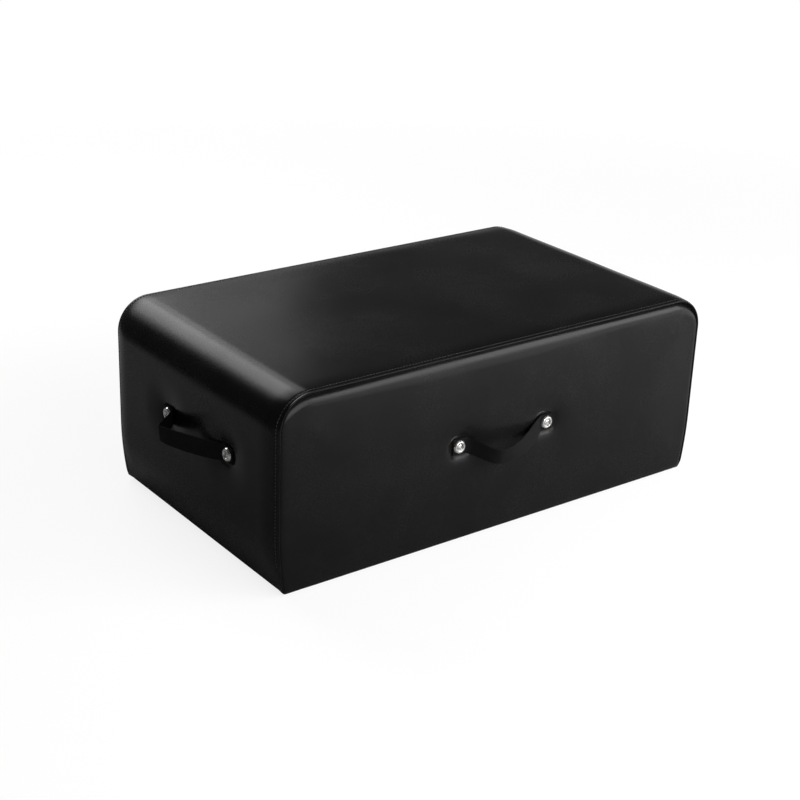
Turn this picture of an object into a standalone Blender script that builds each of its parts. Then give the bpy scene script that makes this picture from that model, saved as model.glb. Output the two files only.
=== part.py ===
"""Pilates sitting box: plywood carcass, foam, sewn cover and four webbing handles.

Metres, +Z up. The long side lies along X, the front long face looks to -Y and the
origin is on the floor under the middle of the box. Each handle is laid out in the
frame of its own face: u to the right as seen from outside, out away from the box, z up.
"""
import math

import bmesh
import bpy

# Outside sizes of the upholstered box
BOX_LENGTH = 0.800
BOX_DEPTH = 0.460
BOX_HEIGHT = 0.302
END_CORNER_RADIUS = 0.055
TUCK_HEIGHT = 0.105

# Cover, foam and the clearance that touching pieces keep
CLEARANCE = 0.0003
COVER_THICKNESS = 0.0012
TOP_FOAM_THICKNESS = 0.022
END_FOAM_THICKNESS = 0.016
FOOT_FOAM_THICKNESS = 0.001
SIDE_FOAM_THICKNESS = 0.010
SEAM_DROP = 0.002
SEAM_ROUNDING = 0.014
HEM_WIDTH = 0.030
HEM_RADIUS = 0.004
HEM_SPACING = 0.003
DUST_COVER_THICKNESS = 0.0007
DUST_COVER_LAP = 0.018
DUST_COVER_STEP = 0.005
END_FOAM_BOTTOM = 0.020

# Plywood carcass
TOP_BOARD_THICKNESS = 0.015
SIDE_BOARD_THICKNESS = 0.015
END_BOARD_THICKNESS = 0.015
BASE_BOARD_THICKNESS = 0.012
CORNER_RAIL_RADIUS = 0.030

# Feet and their screws
FOOT_HEIGHT = 0.006
FOOT_DIAMETER = 0.036
FOOT_EDGE_DISTANCE = 0.070
FOOT_SCREW_DIAMETER = 0.004
FOOT_SCREW_HEAD_DIAMETER = 0.009
FOOT_SCREW_HEAD_HEIGHT = 0.0022
FOOT_SCREW_HEAD_SINK = 0.001
FOOT_SCREW_BITE = 0.009

# Handles: webbing held by a screw and a cup washer at each end
SCREW_SPACING = 0.168
LONG_SIDE_HANDLE_HEIGHT = 0.159
LONG_SIDE_HANDLE_X = -0.003
END_HANDLE_HEIGHT = 0.173
END_HANDLE_Y = -0.014
WEBBING_WIDTH = 0.025
WEBBING_THICKNESS = 0.002
WEBBING_TAIL = 0.011
STRAP_BOW = 0.038
STRAP_DROOP = 0.015
STRAP_PEAK_OFFSET = -0.042
STRAP_FULLNESS = 1.3
HINGE_DISTANCE = 0.0145
DIMPLE_DEPTH = 0.003
DIMPLE_WIDTH = 0.012
SEAT_MARGIN = 0.0025
WASHER_DIAMETER = 0.021
WASHER_HEIGHT = 0.0032
SEAT_TOP_RADIUS = 0.0059
SEAT_TOP = 0.00305
SEAT_BOTTOM = 0.0007
SCREW_DIAMETER = 0.005
SCREW_HEAD_DIAMETER = 0.0105
SCREW_BITE = 0.012
HEAD_CROWN = 0.0008
CROSS_DEPTH = 0.0017
CROSS_TAPER = 0.55

# Smoothness: how many steps each curved stretch is divided into
CORNER_STEPS = 8
HEM_STEPS = 3
HOLE_STEPS = 12
TURNED_STEPS = 16
STRAP_STEPS = 24
DIMPLE_STEPS = 2

# Heights, from the floor up
BASE_BOTTOM = FOOT_HEIGHT + 2 * CLEARANCE + DUST_COVER_THICKNESS
HEM_TOP = BASE_BOTTOM - CLEARANCE
HEM_BOTTOM = HEM_TOP - COVER_THICKNESS
SKIN = COVER_THICKNESS + CLEARANCE
CARCASS_TOP = BOX_HEIGHT - SKIN - TOP_FOAM_THICKNESS - CLEARANCE
CORNER_HEIGHT = BOX_HEIGHT - END_CORNER_RADIUS
RAIL_HEIGHT = CARCASS_TOP - CORNER_RAIL_RADIUS

# Half sizes along X and Y
HALF_LENGTH = BOX_LENGTH / 2
HALF_DEPTH = BOX_DEPTH / 2
CARCASS_HALF_LENGTH = HALF_LENGTH - SKIN - END_FOAM_THICKNESS - CLEARANCE
CARCASS_HALF_DEPTH = HALF_DEPTH - SKIN - SIDE_FOAM_THICKNESS - CLEARANCE
INNER_HALF_DEPTH = CARCASS_HALF_DEPTH - SIDE_BOARD_THICKNESS - CLEARANCE
RAIL_X = CARCASS_HALF_LENGTH - CORNER_RAIL_RADIUS
SEAM_Y = HALF_DEPTH - SEAM_DROP
BAND_HALF_DEPTH = SEAM_Y - SKIN

# The ends tuck in towards the foot, where the foam is pulled thin
FOOT_TUCK = END_FOAM_THICKNESS - FOOT_FOAM_THICKNESS

# Rows up the ends, and distances from the seam at which the puffed edge is divided
FIRST_ROW = HEM_BOTTOM + SEAM_ROUNDING
TUCK_ROWS = [FIRST_ROW + (TUCK_HEIGHT - FIRST_ROW) * share for share in (0.12, 0.4, 0.7)] + [TUCK_HEIGHT]
SEAM_ROWS = [SEAM_ROUNDING * share for share in (0.22, 0.5, 1.0)]
DIMPLE_ROWS = [DIMPLE_WIDTH * share for share in (0.0, 0.33, 0.67, 1.0)]

# Where the webbing leaves the cover, and how far its middle stands from the face at its ends
STRAP_LIFT = SCREW_SPACING / 2 - WASHER_DIAMETER / 2
TAB_OUT = CLEARANCE + WEBBING_THICKNESS / 2 - DIMPLE_DEPTH

SCREW_HOLE_RADIUS = SCREW_DIAMETER / 2 + CLEARANCE
FOOT_HOLE_RADIUS = FOOT_SCREW_DIAMETER / 2 + CLEARANCE

# The four sides: name, turn about +Z, distance of the cover's face from the middle
SIDES = (
    ("front", 0, HALF_DEPTH),
    ("right", 90, HALF_LENGTH),
    ("back", 180, HALF_DEPTH),
    ("left", 270, HALF_LENGTH),
)

# Middle of the handle on the side with each turn: its u and its height
HANDLE_PLACES = {
    0: (LONG_SIDE_HANDLE_X, LONG_SIDE_HANDLE_HEIGHT),
    90: (END_HANDLE_Y, END_HANDLE_HEIGHT),
    180: (-LONG_SIDE_HANDLE_X, LONG_SIDE_HANDLE_HEIGHT),
    270: (-END_HANDLE_Y, END_HANDLE_HEIGHT),
}


def make_material(name, colour, roughness, metallic=0.0):
    material = bpy.data.materials.new(name)
    material.use_nodes = True
    shader = material.node_tree.nodes["Principled BSDF"]
    shader.inputs["Base Color"].default_value = (*colour, 1.0)
    shader.inputs["Roughness"].default_value = roughness
    shader.inputs["Metallic"].default_value = metallic
    material.diffuse_color = (*colour, 1.0)
    return material


def add_object(name, mesh, material, smooth=False):
    if smooth:
        mesh.shade_smooth()
        mesh.set_sharp_from_angle(angle=math.radians(35))
    if not mesh.materials:
        mesh.materials.append(material)
    piece = bpy.data.objects.new(name, mesh)
    bpy.context.scene.collection.objects.link(piece)
    return piece


def turn_about_z(point, degrees):
    angle = math.radians(degrees)
    x, y, z = point
    return (
        x * math.cos(angle) - y * math.sin(angle),
        x * math.sin(angle) + y * math.cos(angle),
        z,
    )


def from_face(degrees, u, out, z):
    """A point given in a side's own frame, in world axes."""
    return turn_about_z((u, -out, z), degrees)


def arc_points(centre, radius, start, end, steps):
    """Points on a circle, both ends included."""
    points = []
    for step in range(steps + 1):
        angle = math.radians(start + (end - start) * step / steps)
        points.append((centre[0] + radius * math.cos(angle), centre[1] + radius * math.sin(angle)))
    return points


def circle(centre, radius, steps=HOLE_STEPS):
    return arc_points(centre, radius, 0, 360, steps)[:-1]


def fill_flat(loops):
    """Triangles between the first loop and the loops inside it, as indices into all their points."""
    flat = bmesh.new()
    for loop in loops:
        corners = [flat.verts.new((u, v, 0)) for u, v in loop]
        for first, second in zip(corners, corners[1:] + corners[:1]):
            flat.edges.new((first, second))
    flat.verts.index_update()
    bmesh.ops.triangle_fill(flat, use_beauty=True, edges=flat.edges[:], normal=(0, 0, 1))
    triangles = []
    for face in flat.faces:
        corners = [vert.index for vert in face.verts]
        face.normal_update()
        triangles.append(corners if face.normal.z > 0 else corners[::-1])
    flat.free()
    return triangles


class Sheet:
    """A layer of material: each point has a place on its outer and on its inner side."""

    def __init__(self):
        self.outer = []
        self.inner = []
        self.faces = []

    def add(self, outer, inner):
        self.outer.append(outer)
        self.inner.append(inner)
        return len(self.outer) - 1

    def strip(self, first, second, closed=False):
        """Quads between two rows of equal length; the second lies to the left of the first."""
        count = len(first) if closed else len(first) - 1
        for step in range(count):
            after = (step + 1) % len(first)
            self.faces.append([first[step], first[after], second[after], second[step]])

    def fill(self, loops, flat_loops):
        """Fills a flat region; flat_loops holds the same points as loops, laid out flat."""
        points = [point for loop in loops for point in loop]
        for triangle in fill_flat(flat_loops):
            self.faces.append([points[corner] for corner in triangle])

    def to_object(self, name, material, smooth=False):
        """Closes the layer along its borders and makes it one solid."""
        count = len(self.outer)
        faces = list(self.faces)
        faces += [[corner + count for corner in reversed(face)] for face in self.faces]
        borders = set()
        for face in self.faces:
            for first, second in zip(face, face[1:] + face[:1]):
                borders.add((first, second))
        for first, second in sorted(borders):
            if (second, first) not in borders:
                faces.append([second, first, first + count, second + count])
        mesh = bpy.data.meshes.new(name)
        mesh.from_pydata(self.outer + self.inner, [], faces)
        mesh.validate()
        return add_object(name, mesh, material, smooth)


def prism(name, material, outline, holes, place):
    """A board: an outline with holes, given a thickness by place(u, v, side)."""
    sheet = Sheet()
    loops = []
    for loop in [outline] + holes:
        loops.append([sheet.add(place(u, v, 0), place(u, v, 1)) for u, v in loop])
    sheet.fill(loops, [outline] + holes)
    return sheet.to_object(name, material)


def end_reach(z):
    """How far the cover's end face stands from the middle at a height: it tucks in at the foot."""
    if z >= TUCK_HEIGHT:
        return HALF_LENGTH
    return HALF_LENGTH - FOOT_TUCK * (1 - z / TUCK_HEIGHT) ** 2


def seam_drop(distance):
    """How far the cover falls away towards a seam, by its distance from the seam."""
    if distance >= SEAM_ROUNDING:
        return 0.0
    return SEAM_DROP * (1 - distance / SEAM_ROUNDING) ** 2


def dimple_loop(centre, grow):
    """The rounded rectangle in which a handle's end sits, grown by a width."""
    radius = SEAT_MARGIN * 2 + grow
    half_u = WEBBING_TAIL + SEAT_MARGIN + grow
    half_v = WEBBING_WIDTH / 2 + SEAT_MARGIN + grow
    points = []
    for turn, (side_u, side_v) in enumerate(((1, 1), (-1, 1), (-1, -1), (1, -1))):
        corner = (centre[0] + side_u * (half_u - radius), centre[1] + side_v * (half_v - radius))
        points += arc_points(corner, radius, 90 * turn, 90 * turn + 90, DIMPLE_STEPS)
    return points


def dimple_fall(grow):
    """Depth of the dimple at a distance outside its flat seat, smooth at both ends."""
    share = 1 - grow / DIMPLE_WIDTH
    return DIMPLE_DEPTH * share * share * (3 - 2 * share)


def screw_centres(degrees):
    """Where the two screws of a side's handle stand on its face."""
    middle, height = HANDLE_PLACES[degrees]
    return [(middle - SCREW_SPACING / 2, height), (middle + SCREW_SPACING / 2, height)]


def add_dimples(sheet, degrees, outer_loop, outer_flat, place):
    """Fills a face inside outer_loop, with a dimple and a screw hole at each end of the handle."""
    loops = [outer_loop]
    flat_loops = [outer_flat]
    for centre in screw_centres(degrees):
        previous = None
        for grow in reversed(DIMPLE_ROWS):
            flat = dimple_loop(centre, grow)
            ring = [sheet.add(*place(u, v, dimple_fall(grow))) for u, v in flat]
            if previous is None:
                loops.append(ring)
                flat_loops.append(flat)
            else:
                sheet.strip(previous, ring, closed=True)
            previous = ring
        hole_flat = circle(centre, SCREW_HOLE_RADIUS)
        hole = [sheet.add(*place(u, v, DIMPLE_DEPTH)) for u, v in hole_flat]
        sheet.fill([previous, hole], [flat, hole_flat])
    sheet.fill(loops, flat_loops)


def panel_ring(inset):
    """The outline of a long side's cover, moved inwards, counter-clockwise as seen from outside."""
    bottom = HEM_BOTTOM + inset
    margin = SEAM_DROP + inset
    corner = end_reach(bottom) - margin
    right = [(end_reach(z) - margin, z) for z in TUCK_ROWS]
    centre = (HALF_LENGTH - END_CORNER_RADIUS, CORNER_HEIGHT)
    right += arc_points(centre, END_CORNER_RADIUS - margin, 0, 90, CORNER_STEPS)
    left = [(-u, v) for u, v in reversed(right)]
    hem = panel_hem_half_length()
    return [(-hem, bottom), (hem, bottom), (corner, bottom)] + right + left + [(-corner, bottom)]


def band_hem_edge():
    """Where the band's hem ends under the box, along X."""
    return end_reach(HEM_BOTTOM + HEM_RADIUS) - HEM_WIDTH


def panel_hem_half_length():
    return band_hem_edge() - HEM_SPACING


def long_side_sheet(degrees, first_inset, level, back):
    """The puffed face of a long side, from its outline inwards, with the handle's dimples.

    level is how deep the sheet's outer side lies under the cover's face, and back(out)
    gives the place of its inner side from that of its outer side.
    """
    sheet = Sheet()
    rings = []
    for inset in [first_inset] + SEAM_ROWS:
        out = HALF_DEPTH - level - seam_drop(inset)
        flat = panel_ring(inset)
        rings.append([sheet.add((u, out, v), (u, back(out), v)) for u, v in flat])
    for first, second in zip(rings, rings[1:]):
        sheet.strip(first, second, closed=True)

    def place(u, v, fall):
        out = HALF_DEPTH - level - fall
        return (u, out, v), (u, back(out), v)

    add_dimples(sheet, degrees, rings[-1], panel_ring(SEAM_ROWS[-1]), place)
    return sheet, rings[0]


def turn_sheet(sheet, degrees):
    sheet.outer = [from_face(degrees, *point) for point in sheet.outer]
    sheet.inner = [from_face(degrees, *point) for point in sheet.inner]


def make_cover_panel(name, degrees, material):
    """One long side of the cover, folded under the carcass as a hem."""
    sheet, rim = long_side_sheet(degrees, 0.0, 0.0, lambda out: out - COVER_THICKNESS)
    fold = HALF_DEPTH - seam_drop(COVER_THICKNESS) - COVER_THICKNESS
    for corner in rim:
        u, _, z = sheet.outer[corner]
        if z == HEM_BOTTOM:
            sheet.inner[corner] = (u, fold, HEM_TOP)
    half = panel_hem_half_length()
    depth = SEAM_Y - HEM_WIDTH
    left = sheet.add((-half, depth, HEM_BOTTOM), (-half, depth, HEM_TOP))
    right = sheet.add((half, depth, HEM_BOTTOM), (half, depth, HEM_TOP))
    sheet.faces.append([rim[0], left, right, rim[1]])
    turn_sheet(sheet, degrees)
    return sheet.to_object(name, material, smooth=True)


def make_side_foam(name, degrees, material):
    level = SKIN
    flat_back = CARCASS_HALF_DEPTH + CLEARANCE
    sheet, _ = long_side_sheet(degrees, SKIN, level, lambda out: flat_back)
    turn_sheet(sheet, degrees)
    return sheet.to_object(name, material, smooth=True)


def hem_stations():
    """The right end's hem and its fold: x, z and the angle that the cover faces there."""
    start = HEM_BOTTOM + HEM_RADIUS
    centre = (end_reach(start) - HEM_RADIUS, start)
    fold = arc_points(centre, HEM_RADIUS, -90, 0, HEM_STEPS)
    stations = [(band_hem_edge(), HEM_BOTTOM, -90)]
    for step, (x, z) in enumerate(fold):
        stations.append((x, z, -90 + 90 * step / HEM_STEPS))
    return stations


def tuck_stations():
    return [(end_reach(z), z, 0) for z in TUCK_ROWS]


def corner_stations():
    """The rounded top corner, from the end face to the top."""
    centre = (HALF_LENGTH - END_CORNER_RADIUS, CORNER_HEIGHT)
    arc = arc_points(centre, END_CORNER_RADIUS, 0, 90, CORNER_STEPS)
    return [(x, z, 90 * step / CORNER_STEPS) for step, (x, z) in enumerate(arc)]


def mirrored(stations):
    return [(-x, z, 180 - angle) for x, z, angle in reversed(stations)]


def sunk(station, y, depth):
    """A place under a station of the profile, at y across the box; the hem stays level."""
    x, z, angle = station
    turn = math.radians(angle)
    sink = depth + seam_drop(SEAM_Y - abs(y))
    lift = sink if 0 <= angle <= 180 else depth
    return (x - sink * math.cos(turn), y, z - lift * math.sin(turn))


def seam_lines(edge):
    """Lines along the wrapped pieces where the puffed edge is divided, from -Y to +Y."""
    lines = [edge] + [SEAM_Y - row for row in SEAM_ROWS if SEAM_Y - row < edge - CLEARANCE]
    return [-y for y in lines] + lines[::-1]


def wrapped_sheet(stations, lines, outer, inner):
    """A sheet along the profile, from the right end over the top to the left end.

    outer(station, y, fall) and inner(station, y, fall) give the two sides; the flat part
    of each end face gets the handle's dimples.
    """
    sheet = Sheet()
    rows = [[sheet.add(outer(s, y, 0.0), inner(s, y, 0.0)) for y in lines] for s in stations]
    middle = len(lines) // 2 - 1
    for index in range(len(rows) - 1):
        first, second = rows[index], rows[index + 1]
        side = end_face_side(stations[index], stations[index + 1])
        if side == 0:
            sheet.strip(first, second)
            continue
        sheet.strip(first[:middle + 1], second[:middle + 1])
        sheet.strip(first[middle + 1:], second[middle + 1:])
        corners = [first[middle], first[middle + 1], second[middle + 1], second[middle]]
        flat = [(side * sheet.outer[corner][1], sheet.outer[corner][2]) for corner in corners]

        def place(u, v, fall, side=side):
            station = (side * HALF_LENGTH, v, 0 if side > 0 else 180)
            return outer(station, side * u, fall), inner(station, side * u, fall)

        add_dimples(sheet, 90 if side > 0 else 270, corners, flat, place)
    return sheet


def end_face_side(first, second):
    """1 or -1 where two stations bound the flat part of the right or left end, else 0."""
    lower, upper = sorted((first, second), key=lambda station: station[1])
    if lower[1] != TUCK_HEIGHT or upper[1] < CORNER_HEIGHT - 2 * CLEARANCE:
        return 0
    return 1 if lower[0] > 0 else -1


def make_cover_band(material):
    """The strip over the left end, the top and the right end, hemmed under the carcass."""
    right = hem_stations() + tuck_stations() + corner_stations()
    sheet = wrapped_sheet(
        right + mirrored(right),
        seam_lines(BAND_HALF_DEPTH),
        lambda station, y, fall: sunk(station, y, fall),
        lambda station, y, fall: sunk(station, y, fall + COVER_THICKNESS),
    )
    return sheet.to_object("cover_band", material, smooth=True)


def carcass_place(station, y):
    """The place on the carcass, with its clearance, that lies under a station of the profile."""
    x, z, angle = station
    side = 1 if x > 0 else -1
    if angle in (0, 180):
        return (side * (CARCASS_HALF_LENGTH + CLEARANCE), y, z)
    turn = math.radians(angle)
    radius = CORNER_RAIL_RADIUS + CLEARANCE
    return (side * RAIL_X + radius * math.cos(turn), y, RAIL_HEIGHT + radius * math.sin(turn))


def make_wrapped_foam(name, stations, material):
    sheet = wrapped_sheet(
        stations,
        seam_lines(CARCASS_HALF_DEPTH),
        lambda station, y, fall: sunk(station, y, SKIN + fall),
        lambda station, y, fall: carcass_place(station, y),
    )
    return sheet.to_object(name, material, smooth=True)


def make_foams(material):
    right_end = [(end_reach(END_FOAM_BOTTOM), END_FOAM_BOTTOM, 0)] + tuck_stations()
    right_end.append((HALF_LENGTH, CORNER_HEIGHT - CLEARANCE, 0))
    corner = corner_stations()
    make_wrapped_foam("top_foam", corner + mirrored(corner), material)
    make_wrapped_foam("right_end_foam", right_end, material)
    make_wrapped_foam("left_end_foam", mirrored(right_end), material)
    make_side_foam("front_foam", 0, material)
    make_side_foam("back_foam", 180, material)


def rectangle(half_u, low, high):
    return [(-half_u, low), (half_u, low), (half_u, high), (-half_u, high)]


def screw_holes(degrees):
    return [circle(centre, SCREW_HOLE_RADIUS) for centre in screw_centres(degrees)]


def foot_centres():
    x = HALF_LENGTH - FOOT_EDGE_DISTANCE
    y = HALF_DEPTH - FOOT_EDGE_DISTANCE
    return {
        "front_left": (-x, -y),
        "front_right": (x, -y),
        "back_left": (-x, y),
        "back_right": (x, y),
    }


def foot_holes():
    return [circle(centre, FOOT_HOLE_RADIUS) for centre in foot_centres().values()]


def make_carcass(material):
    rail_centre = (RAIL_X, RAIL_HEIGHT)
    corner = arc_points(rail_centre, CORNER_RAIL_RADIUS, 0, 90, CORNER_STEPS)
    side_outline = [(-CARCASS_HALF_LENGTH, BASE_BOTTOM), (CARCASS_HALF_LENGTH, BASE_BOTTOM)]
    side_outline += corner + [(-u, v) for u, v in reversed(corner)]
    for name, degrees in (("front_board", 0), ("back_board", 180)):

        def side_place(u, v, inner, degrees=degrees):
            return from_face(degrees, u, CARCASS_HALF_DEPTH - inner * SIDE_BOARD_THICKNESS, v)

        prism(name, material, side_outline, screw_holes(degrees), side_place)

    base_top = BASE_BOTTOM + BASE_BOARD_THICKNESS
    end_outline = rectangle(INNER_HALF_DEPTH, base_top + CLEARANCE, RAIL_HEIGHT - CLEARANCE)
    for name, degrees in (("right_end_board", 90), ("left_end_board", 270)):

        def end_place(u, v, inner, degrees=degrees):
            return from_face(degrees, u, CARCASS_HALF_LENGTH - inner * END_BOARD_THICKNESS, v)

        prism(name, material, end_outline, screw_holes(degrees), end_place)

    for name, degrees in (("right_corner_rail", 0), ("left_corner_rail", 180)):

        def rail_place(u, v, inner, degrees=degrees):
            return from_face(degrees, u, INNER_HALF_DEPTH * (1 - 2 * inner), v)

        prism(name, material, [rail_centre] + corner, [], rail_place)

    top_outline = rectangle(RAIL_X - CLEARANCE, -INNER_HALF_DEPTH, INNER_HALF_DEPTH)
    prism(
        "top_board", material, top_outline, [],
        lambda u, v, inner: (u, v, CARCASS_TOP - inner * TOP_BOARD_THICKNESS),
    )
    base_outline = rectangle(CARCASS_HALF_LENGTH, -INNER_HALF_DEPTH, INNER_HALF_DEPTH)
    prism(
        "base_board", material, base_outline, foot_holes(),
        lambda u, v, inner: (u, v, base_top - inner * BASE_BOARD_THICKNESS),
    )


def make_dust_cover(material):
    """A thin sheet under the carcass: low where it laps the hems, raised to the board between them."""
    hem_u = band_hem_edge()
    hem_v = SEAM_Y - HEM_WIDTH
    low = HEM_BOTTOM - CLEARANCE
    borders = (
        (DUST_COVER_LAP, low),
        (-HEM_SPACING / 2, low),
        (-HEM_SPACING / 2 - DUST_COVER_STEP, HEM_TOP),
    )
    sheet = Sheet()
    rings = []
    for grow, top in borders:
        outline = rectangle(hem_u + grow, -hem_v - grow, hem_v + grow)
        rings.append([sheet.add((u, v, top), (u, v, top - DUST_COVER_THICKNESS)) for u, v in outline])
    for first, second in zip(rings, rings[1:]):
        sheet.strip(first, second, closed=True)
    holes = foot_holes()
    loops = [rings[-1]]
    for hole in holes:
        loops.append([sheet.add((u, v, HEM_TOP), (u, v, HEM_TOP - DUST_COVER_THICKNESS)) for u, v in hole])
    sheet.fill(loops, [outline] + holes)
    return sheet.to_object("dust_cover", material)


def turned(profile, closed):
    """Spins a profile of (radius, height) points about Z; a closed one makes a ring."""
    body = bmesh.new()
    chain = [body.verts.new((radius, 0, height)) for radius, height in profile]
    pairs = list(zip(chain, chain[1:]))
    if closed:
        pairs.append((chain[-1], chain[0]))
    edges = [body.edges.new(pair) for pair in pairs]
    bmesh.ops.spin(
        body, geom=chain + edges, cent=(0, 0, 0), axis=(0, 0, 1),
        angle=2 * math.pi, steps=TURNED_STEPS, use_merge=True,
    )
    bmesh.ops.remove_doubles(body, verts=body.verts[:], dist=1e-6)
    return body


def cut_cross(body, top, half_length, half_width, depth):
    """Closes a screw head's open top with a tapered cross recess."""
    rim = [edge for edge in body.edges if edge.is_boundary]
    outline = []
    for turn in range(4):
        angle = 90 * turn
        for u, v in ((half_length, -half_width), (half_length, half_width), (half_width, half_width)):
            outline.append(turn_about_z((u, v, top), angle))
    corners = [body.verts.new(point) for point in outline]
    recess = [body.edges.new(pair) for pair in zip(corners, corners[1:] + corners[:1])]
    bmesh.ops.triangle_fill(body, use_beauty=True, edges=rim + recess, normal=(0, 0, 1))
    walls = bmesh.ops.extrude_edge_only(body, edges=recess)["geom"]
    floor = [item for item in walls if isinstance(item, bmesh.types.BMVert)]
    for vert in floor:
        vert.co.x *= CROSS_TAPER
        vert.co.y *= CROSS_TAPER
        vert.co.z -= depth
    floor_edges = [item for item in walls if isinstance(item, bmesh.types.BMEdge)]
    bmesh.ops.triangle_fill(body, use_beauty=True, edges=floor_edges, normal=(0, 0, 1))


def finish_mesh(body, name):
    bmesh.ops.recalc_face_normals(body, faces=body.faces[:])
    mesh = bpy.data.meshes.new(name)
    body.to_mesh(mesh)
    body.free()
    return mesh


def washer_mesh():
    """A finishing washer: a rolled rim, a rounded crown and a countersunk seat for the screw."""
    radius = WASHER_DIAMETER / 2
    top = WASHER_HEIGHT
    crown = SEAT_TOP_RADIUS + (radius - SEAT_TOP_RADIUS) * 0.2
    shoulder = SEAT_TOP_RADIUS + (radius - SEAT_TOP_RADIUS) * 0.5
    profile = [
        (SCREW_HOLE_RADIUS, 0.0),
        (radius, 0.0),
        (radius, top * 0.18),
        (radius - top * 0.3, top * 0.55),
        (shoulder, top * 0.88),
        (crown, top),
        (SEAT_TOP_RADIUS, SEAT_TOP),
        (SCREW_HOLE_RADIUS, SEAT_BOTTOM),
    ]
    return finish_mesh(turned(profile, closed=True), "cup_washer")


def handle_screw_mesh(foam_thickness):
    """An oval-head screw: through webbing, cover and foam, and into the board behind."""
    shank = SCREW_DIAMETER / 2
    head = SCREW_HEAD_DIAMETER / 2
    slope = (SEAT_TOP_RADIUS - SCREW_HOLE_RADIUS) / (SEAT_TOP - SEAT_BOTTOM)
    lift = CLEARANCE * math.sqrt(1 + slope * slope) / slope
    neck = SEAT_BOTTOM + (shank - SCREW_HOLE_RADIUS) / slope + lift
    edge = SEAT_BOTTOM + (head - SCREW_HOLE_RADIUS) / slope + lift
    seat_out = -DIMPLE_DEPTH + WEBBING_THICKNESS + 2 * CLEARANCE
    tip = -SKIN - foam_thickness - CLEARANCE - SCREW_BITE - seat_out
    top = edge + HEAD_CROWN
    profile = [
        (0.0, tip),
        (shank * 0.3, tip),
        (shank, tip + 2 * shank),
        (shank, neck),
        (head, edge),
        (head * 0.97, edge + HEAD_CROWN * 0.3),
        (head * 0.8, edge + HEAD_CROWN * 0.75),
        (head * 0.58, top),
    ]
    body = turned(profile, closed=False)
    cut_cross(body, top, head * 0.46, head * 0.1, CROSS_DEPTH)
    return finish_mesh(body, "handle_screw")


def foot_mesh():
    """A round rubber foot with a counterbore for its screw, wider at the box."""
    radius = FOOT_DIAMETER / 2
    bore = FOOT_SCREW_HEAD_DIAMETER / 2 + 2 * CLEARANCE
    seat = FOOT_SCREW_HEAD_SINK + FOOT_SCREW_HEAD_HEIGHT + CLEARANCE
    profile = [
        (bore, 0.0),
        (radius * 0.86, 0.0),
        (radius * 0.92, FOOT_HEIGHT * 0.12),
        (radius, FOOT_HEIGHT),
        (FOOT_HOLE_RADIUS, FOOT_HEIGHT),
        (FOOT_HOLE_RADIUS, seat),
        (bore, seat),
    ]
    return finish_mesh(turned(profile, closed=True), "foot")


def foot_screw_mesh():
    """A pan-head screw, head down: its recess opens below and its tip is in the base board."""
    shank = FOOT_SCREW_DIAMETER / 2
    head = FOOT_SCREW_HEAD_DIAMETER / 2
    under = FOOT_SCREW_HEAD_SINK + FOOT_SCREW_HEAD_HEIGHT
    tip = BASE_BOTTOM + FOOT_SCREW_BITE
    profile = [
        (0.0, -tip),
        (shank * 0.3, -tip),
        (shank, -tip + 2 * shank),
        (shank, -under),
        (head, -under),
        (head, -under + FOOT_SCREW_HEAD_HEIGHT * 0.5),
        (head * 0.8, -under + FOOT_SCREW_HEAD_HEIGHT * 0.85),
        (head * 0.6, -FOOT_SCREW_HEAD_SINK),
    ]
    body = turned(profile, closed=False)
    cut_cross(body, -FOOT_SCREW_HEAD_SINK, head * 0.46, head * 0.12, CROSS_DEPTH * 0.7)
    return finish_mesh(body, "foot_screw")


def make_feet(rubber, steel):
    foot = foot_mesh()
    screw = foot_screw_mesh()
    for place, (x, y) in foot_centres().items():
        pad = add_object(place + "_foot", foot, rubber, smooth=True)
        pad.location = (x, y, 0)
        fixing = add_object(place + "_foot_screw", screw, steel, smooth=True)
        fixing.location = (x, y, 0)
        fixing.rotation_euler = (math.pi, 0, 0)


def strap_hump(u):
    """0 where the webbing lies on the cover, 1 at its peak, and its rate of change with u."""
    side = 1 if u > STRAP_PEAK_OFFSET else -1
    reach = STRAP_LIFT - side * STRAP_PEAK_OFFSET
    share = abs(u - STRAP_PEAK_OFFSET) / reach
    if share >= 1:
        return 0.0, 0.0
    fall = 1 - share * share
    return fall ** STRAP_FULLNESS, -side * 2 * STRAP_FULLNESS * share * fall ** (STRAP_FULLNESS - 1) / reach


def strap_rows(sheet, positions, degrees, face):
    """The webbing's lower and upper edge at each distance from the handle's middle."""
    middle, height = HANDLE_PLACES[degrees]
    lower = []
    upper = []
    for u in positions:
        hump, rate = strap_hump(u)
        out = face + TAB_OUT + (STRAP_BOW - TAB_OUT) * hump
        slope = (STRAP_BOW - TAB_OUT) * rate
        half = WEBBING_THICKNESS / 2 * math.sqrt(1 + slope * slope)
        z = height - STRAP_DROOP * hump
        for row, edge in ((lower, -WEBBING_WIDTH / 2), (upper, WEBBING_WIDTH / 2)):
            row.append(sheet.add((middle + u, out + half, z + edge), (middle + u, out - half, z + edge)))
    return lower, upper


def spread(start, end, steps):
    return [start + (end - start) * step / steps for step in range(steps + 1)]


def hinge_share():
    """The share of a half of the strap, from its peak, at which it crosses the hinge line."""
    height = (HINGE_DISTANCE - TAB_OUT) / (STRAP_BOW - TAB_OUT)
    return math.sqrt(1 - height ** (1 / STRAP_FULLNESS)), height


def hinge_ends():
    share, _ = hinge_share()
    left = STRAP_PEAK_OFFSET - share * (STRAP_LIFT + STRAP_PEAK_OFFSET)
    right = STRAP_PEAK_OFFSET + share * (STRAP_LIFT - STRAP_PEAK_OFFSET)
    return left, right


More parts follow.
